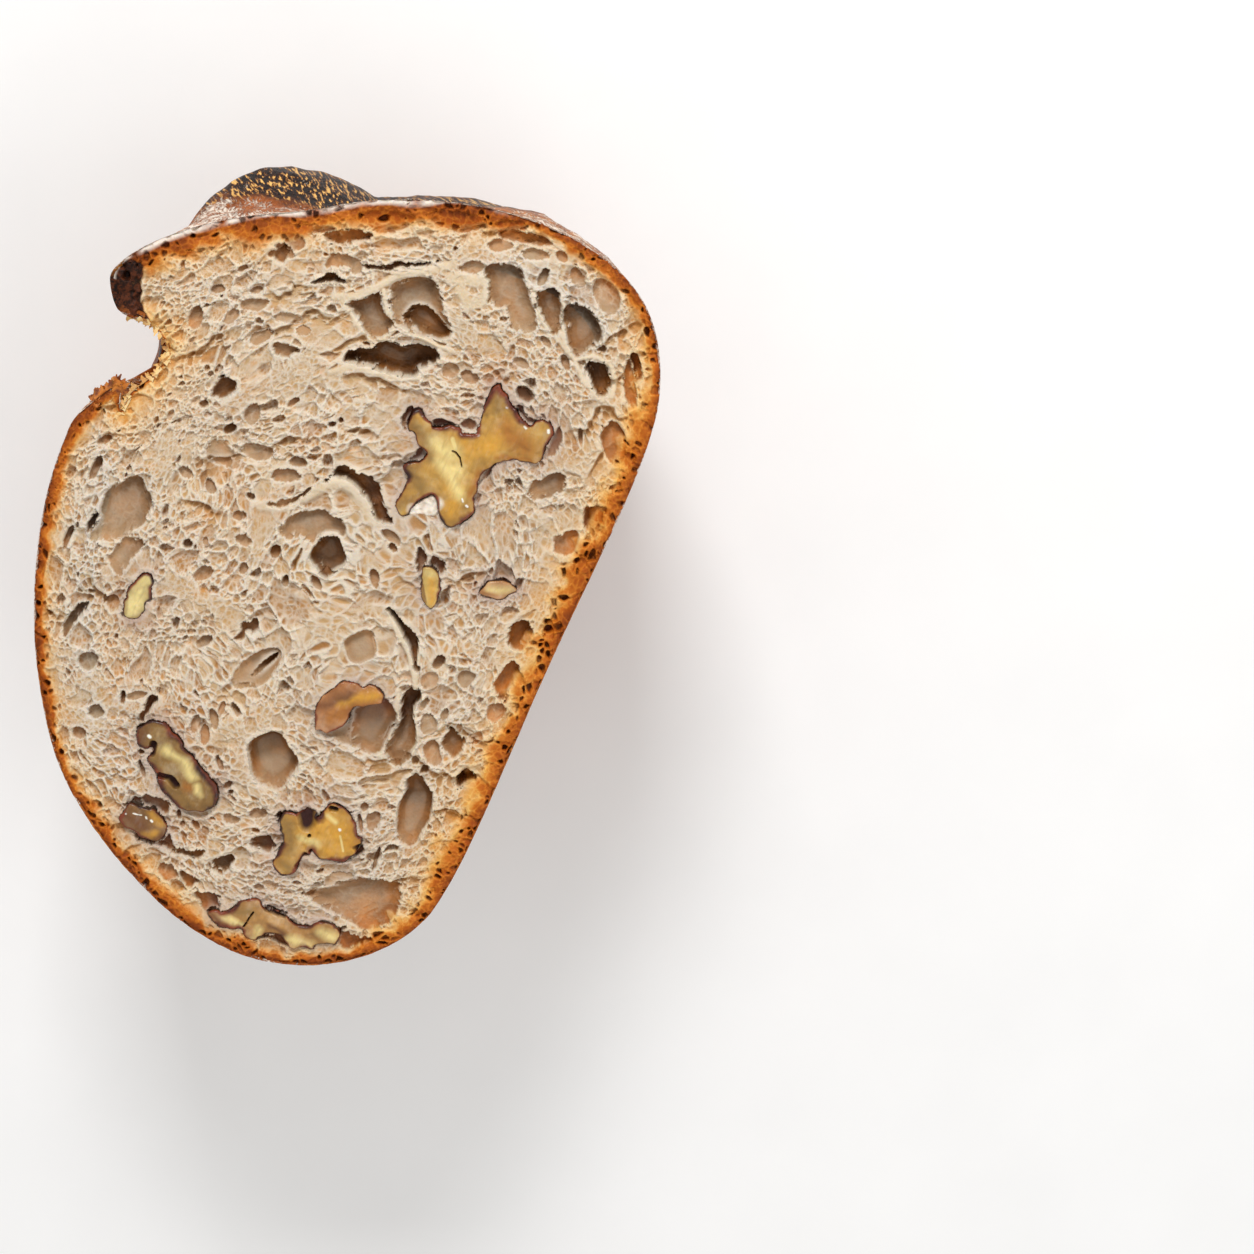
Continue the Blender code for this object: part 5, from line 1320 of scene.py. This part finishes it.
for name, outline in NUT_CURVES.items():
    x, y, inward, on_rim, _ = face_over(outline, NUT_STEP)
    keep = (inward > 0) | on_rim
    flat = np.stack([x, y], axis=-1)
    zones = {zone: np.zeros(x.shape) for zone, _ in FLESH_ZONES + LAID_ON_ZONES}
    wavy = flat + 0.5 * push(flat, 2.2, 94)
    for zone, x0, y0, x1, y1, width in NUT_MARKS[name]:
        kind = "pit" if zone == "crack" else zone
        along = np.array((x1 - x0, y1 - y0))
        spot = (wavy if width > 1.2 else flat) - (x0, y0)
        share = unit(spot @ along / (along @ along + 1e-9))
        away = np.hypot(spot[..., 0] - share * along[0], spot[..., 1] - share * along[1])
        soft = 1.25 if kind in ("pit", "crumb", "glint") or width < 1.0 else 0.75
        zones[kind] = np.maximum(zones[kind], unit((1.5 - away / (width / 2)) * soft))
    chips = 0.14 * grain(flat, 0.9, 91) + 0.34 * grain(flat, 2.6, 92)
    height = -0.36 + chips + 0.25 * unit(inward / 3.0) - 1.4 * zones["pit"] + 0.2 * zones["crumb"]
    height = height + 0.10 * zones["glint"] - 0.45 * unit(1 - inward / 0.30) ** 2
    height = np.minimum(height, -0.03)
    faces = grid_faces(keep, height)
    skin_width = 0.16 + 0.80 * unit(grain(flat, 3.2, 93) + 0.15)
    skin_width = skin_width + 0.25 * unit(grain(flat, 0.9, 96))
    skin_width = skin_width * SKINNED.get(name, 1.0) + 0.01
    zones["skin"] = unit(1.6 - inward / skin_width)
    zones["shore"] = np.exp(-inward / 1.1) * unit(0.7 + 0.8 * grain(flat, 3.0, 97))
    rows = np.stack([zone.ravel() for zone in zones.values()], axis=1)
    surface = np.stack([x, y, CUT_HEIGHT + height], axis=-1).reshape(-1, 3)
    points, faces, rows = used_only(surface, faces, rows)
    made = piece(name + "_cut", points, faces, dict(zip(zones, rows.T)), walnut_finish(name))
    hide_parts(name)


# The table. A plain pale top that the loaf lies on, lit by one soft box from beyond the loaf's upper
# edge, a wider and weaker one from its side, and even pale light from all round.
TABLE_SIZE = 6.0
# How the camera is turned about the loaf and tilted from straight down
FACE_TURN = math.radians(65.86)
VIEW_TILT = math.radians(16.0)
VIEW_DISTANCE = 0.75
VIEW_MIDDLE = Vector((0.0146, -0.0655, 0.084))
LENS, SENSOR = 107.6, 36.0
# What the lamps look at, and the light from all round
LAMP_AIM = Vector((0, 0, 0.06))
SKY_COLOUR, SKY_POWER = (1.0, 0.99, 0.97, 1.0), 0.58

bpy.ops.mesh.primitive_plane_add(size=TABLE_SIZE, location=(0.0, 0.0, 0.0))
table = bpy.context.object
table.name = "table_top"
top = Shader("table_finish")
speck = top.noise(top.spot(), 30.0, 4.0)
pale_top = top.ramp(speck, (0.3, rgb(250, 250, 250)), (0.7, rgb(253, 253, 253)))
table.data.materials.append(top.finish(Base_Color=pale_top, Roughness=0.6))

up = Vector((math.sin(FACE_TURN), math.cos(FACE_TURN), 0.0))
right = Vector((math.cos(FACE_TURN), -math.sin(FACE_TURN), 0.0))
back = up * math.sin(VIEW_TILT) + Vector((0, 0, 1)) * math.cos(VIEW_TILT)
camera = bpy.data.objects.new("camera", bpy.data.cameras.new("camera"))
bpy.context.scene.collection.objects.link(camera)
camera.location = VIEW_MIDDLE + back * VIEW_DISTANCE
view_up = back.cross(right)
camera.matrix_world = Matrix((
    (right.x, view_up.x, back.x, camera.location.x), (right.y, view_up.y, back.y, camera.location.y),
    (right.z, view_up.z, back.z, camera.location.z), (0, 0, 0, 1)))
camera.data.lens = LENS
camera.data.sensor_width = SENSOR
bpy.context.scene.camera = camera


def soft_box(name, direction, distance, size, power):
    """A square lamp that looks at the loaf from this direction."""
    lamp = bpy.data.objects.new(name, bpy.data.lights.new(name, "AREA"))
    lamp.data.size = size
    lamp.data.energy = power
    bpy.context.scene.collection.objects.link(lamp)
    lamp.location = LAMP_AIM + direction.normalized() * distance
    lamp.rotation_mode = "QUATERNION"
    lamp.rotation_quaternion = direction.to_track_quat("Z", "Y")


soft_box("key", up * 1.0 - right * 0.05 + Vector((0, 0, 0.75)), 1.1, 0.30, 7.5)
soft_box("fill", right * 0.9 - up * 0.3 + Vector((0, 0, 1.0)), 1.3, 1.0, 3.6)
world = bpy.data.worlds.new("studio")
bpy.context.scene.world = world
world.use_nodes = True
sky = world.node_tree.nodes["Background"]
sky.inputs[0].default_value = SKY_COLOUR
sky.inputs[1].default_value = SKY_POWER
bpy.context.scene.view_settings.view_transform = "Standard"
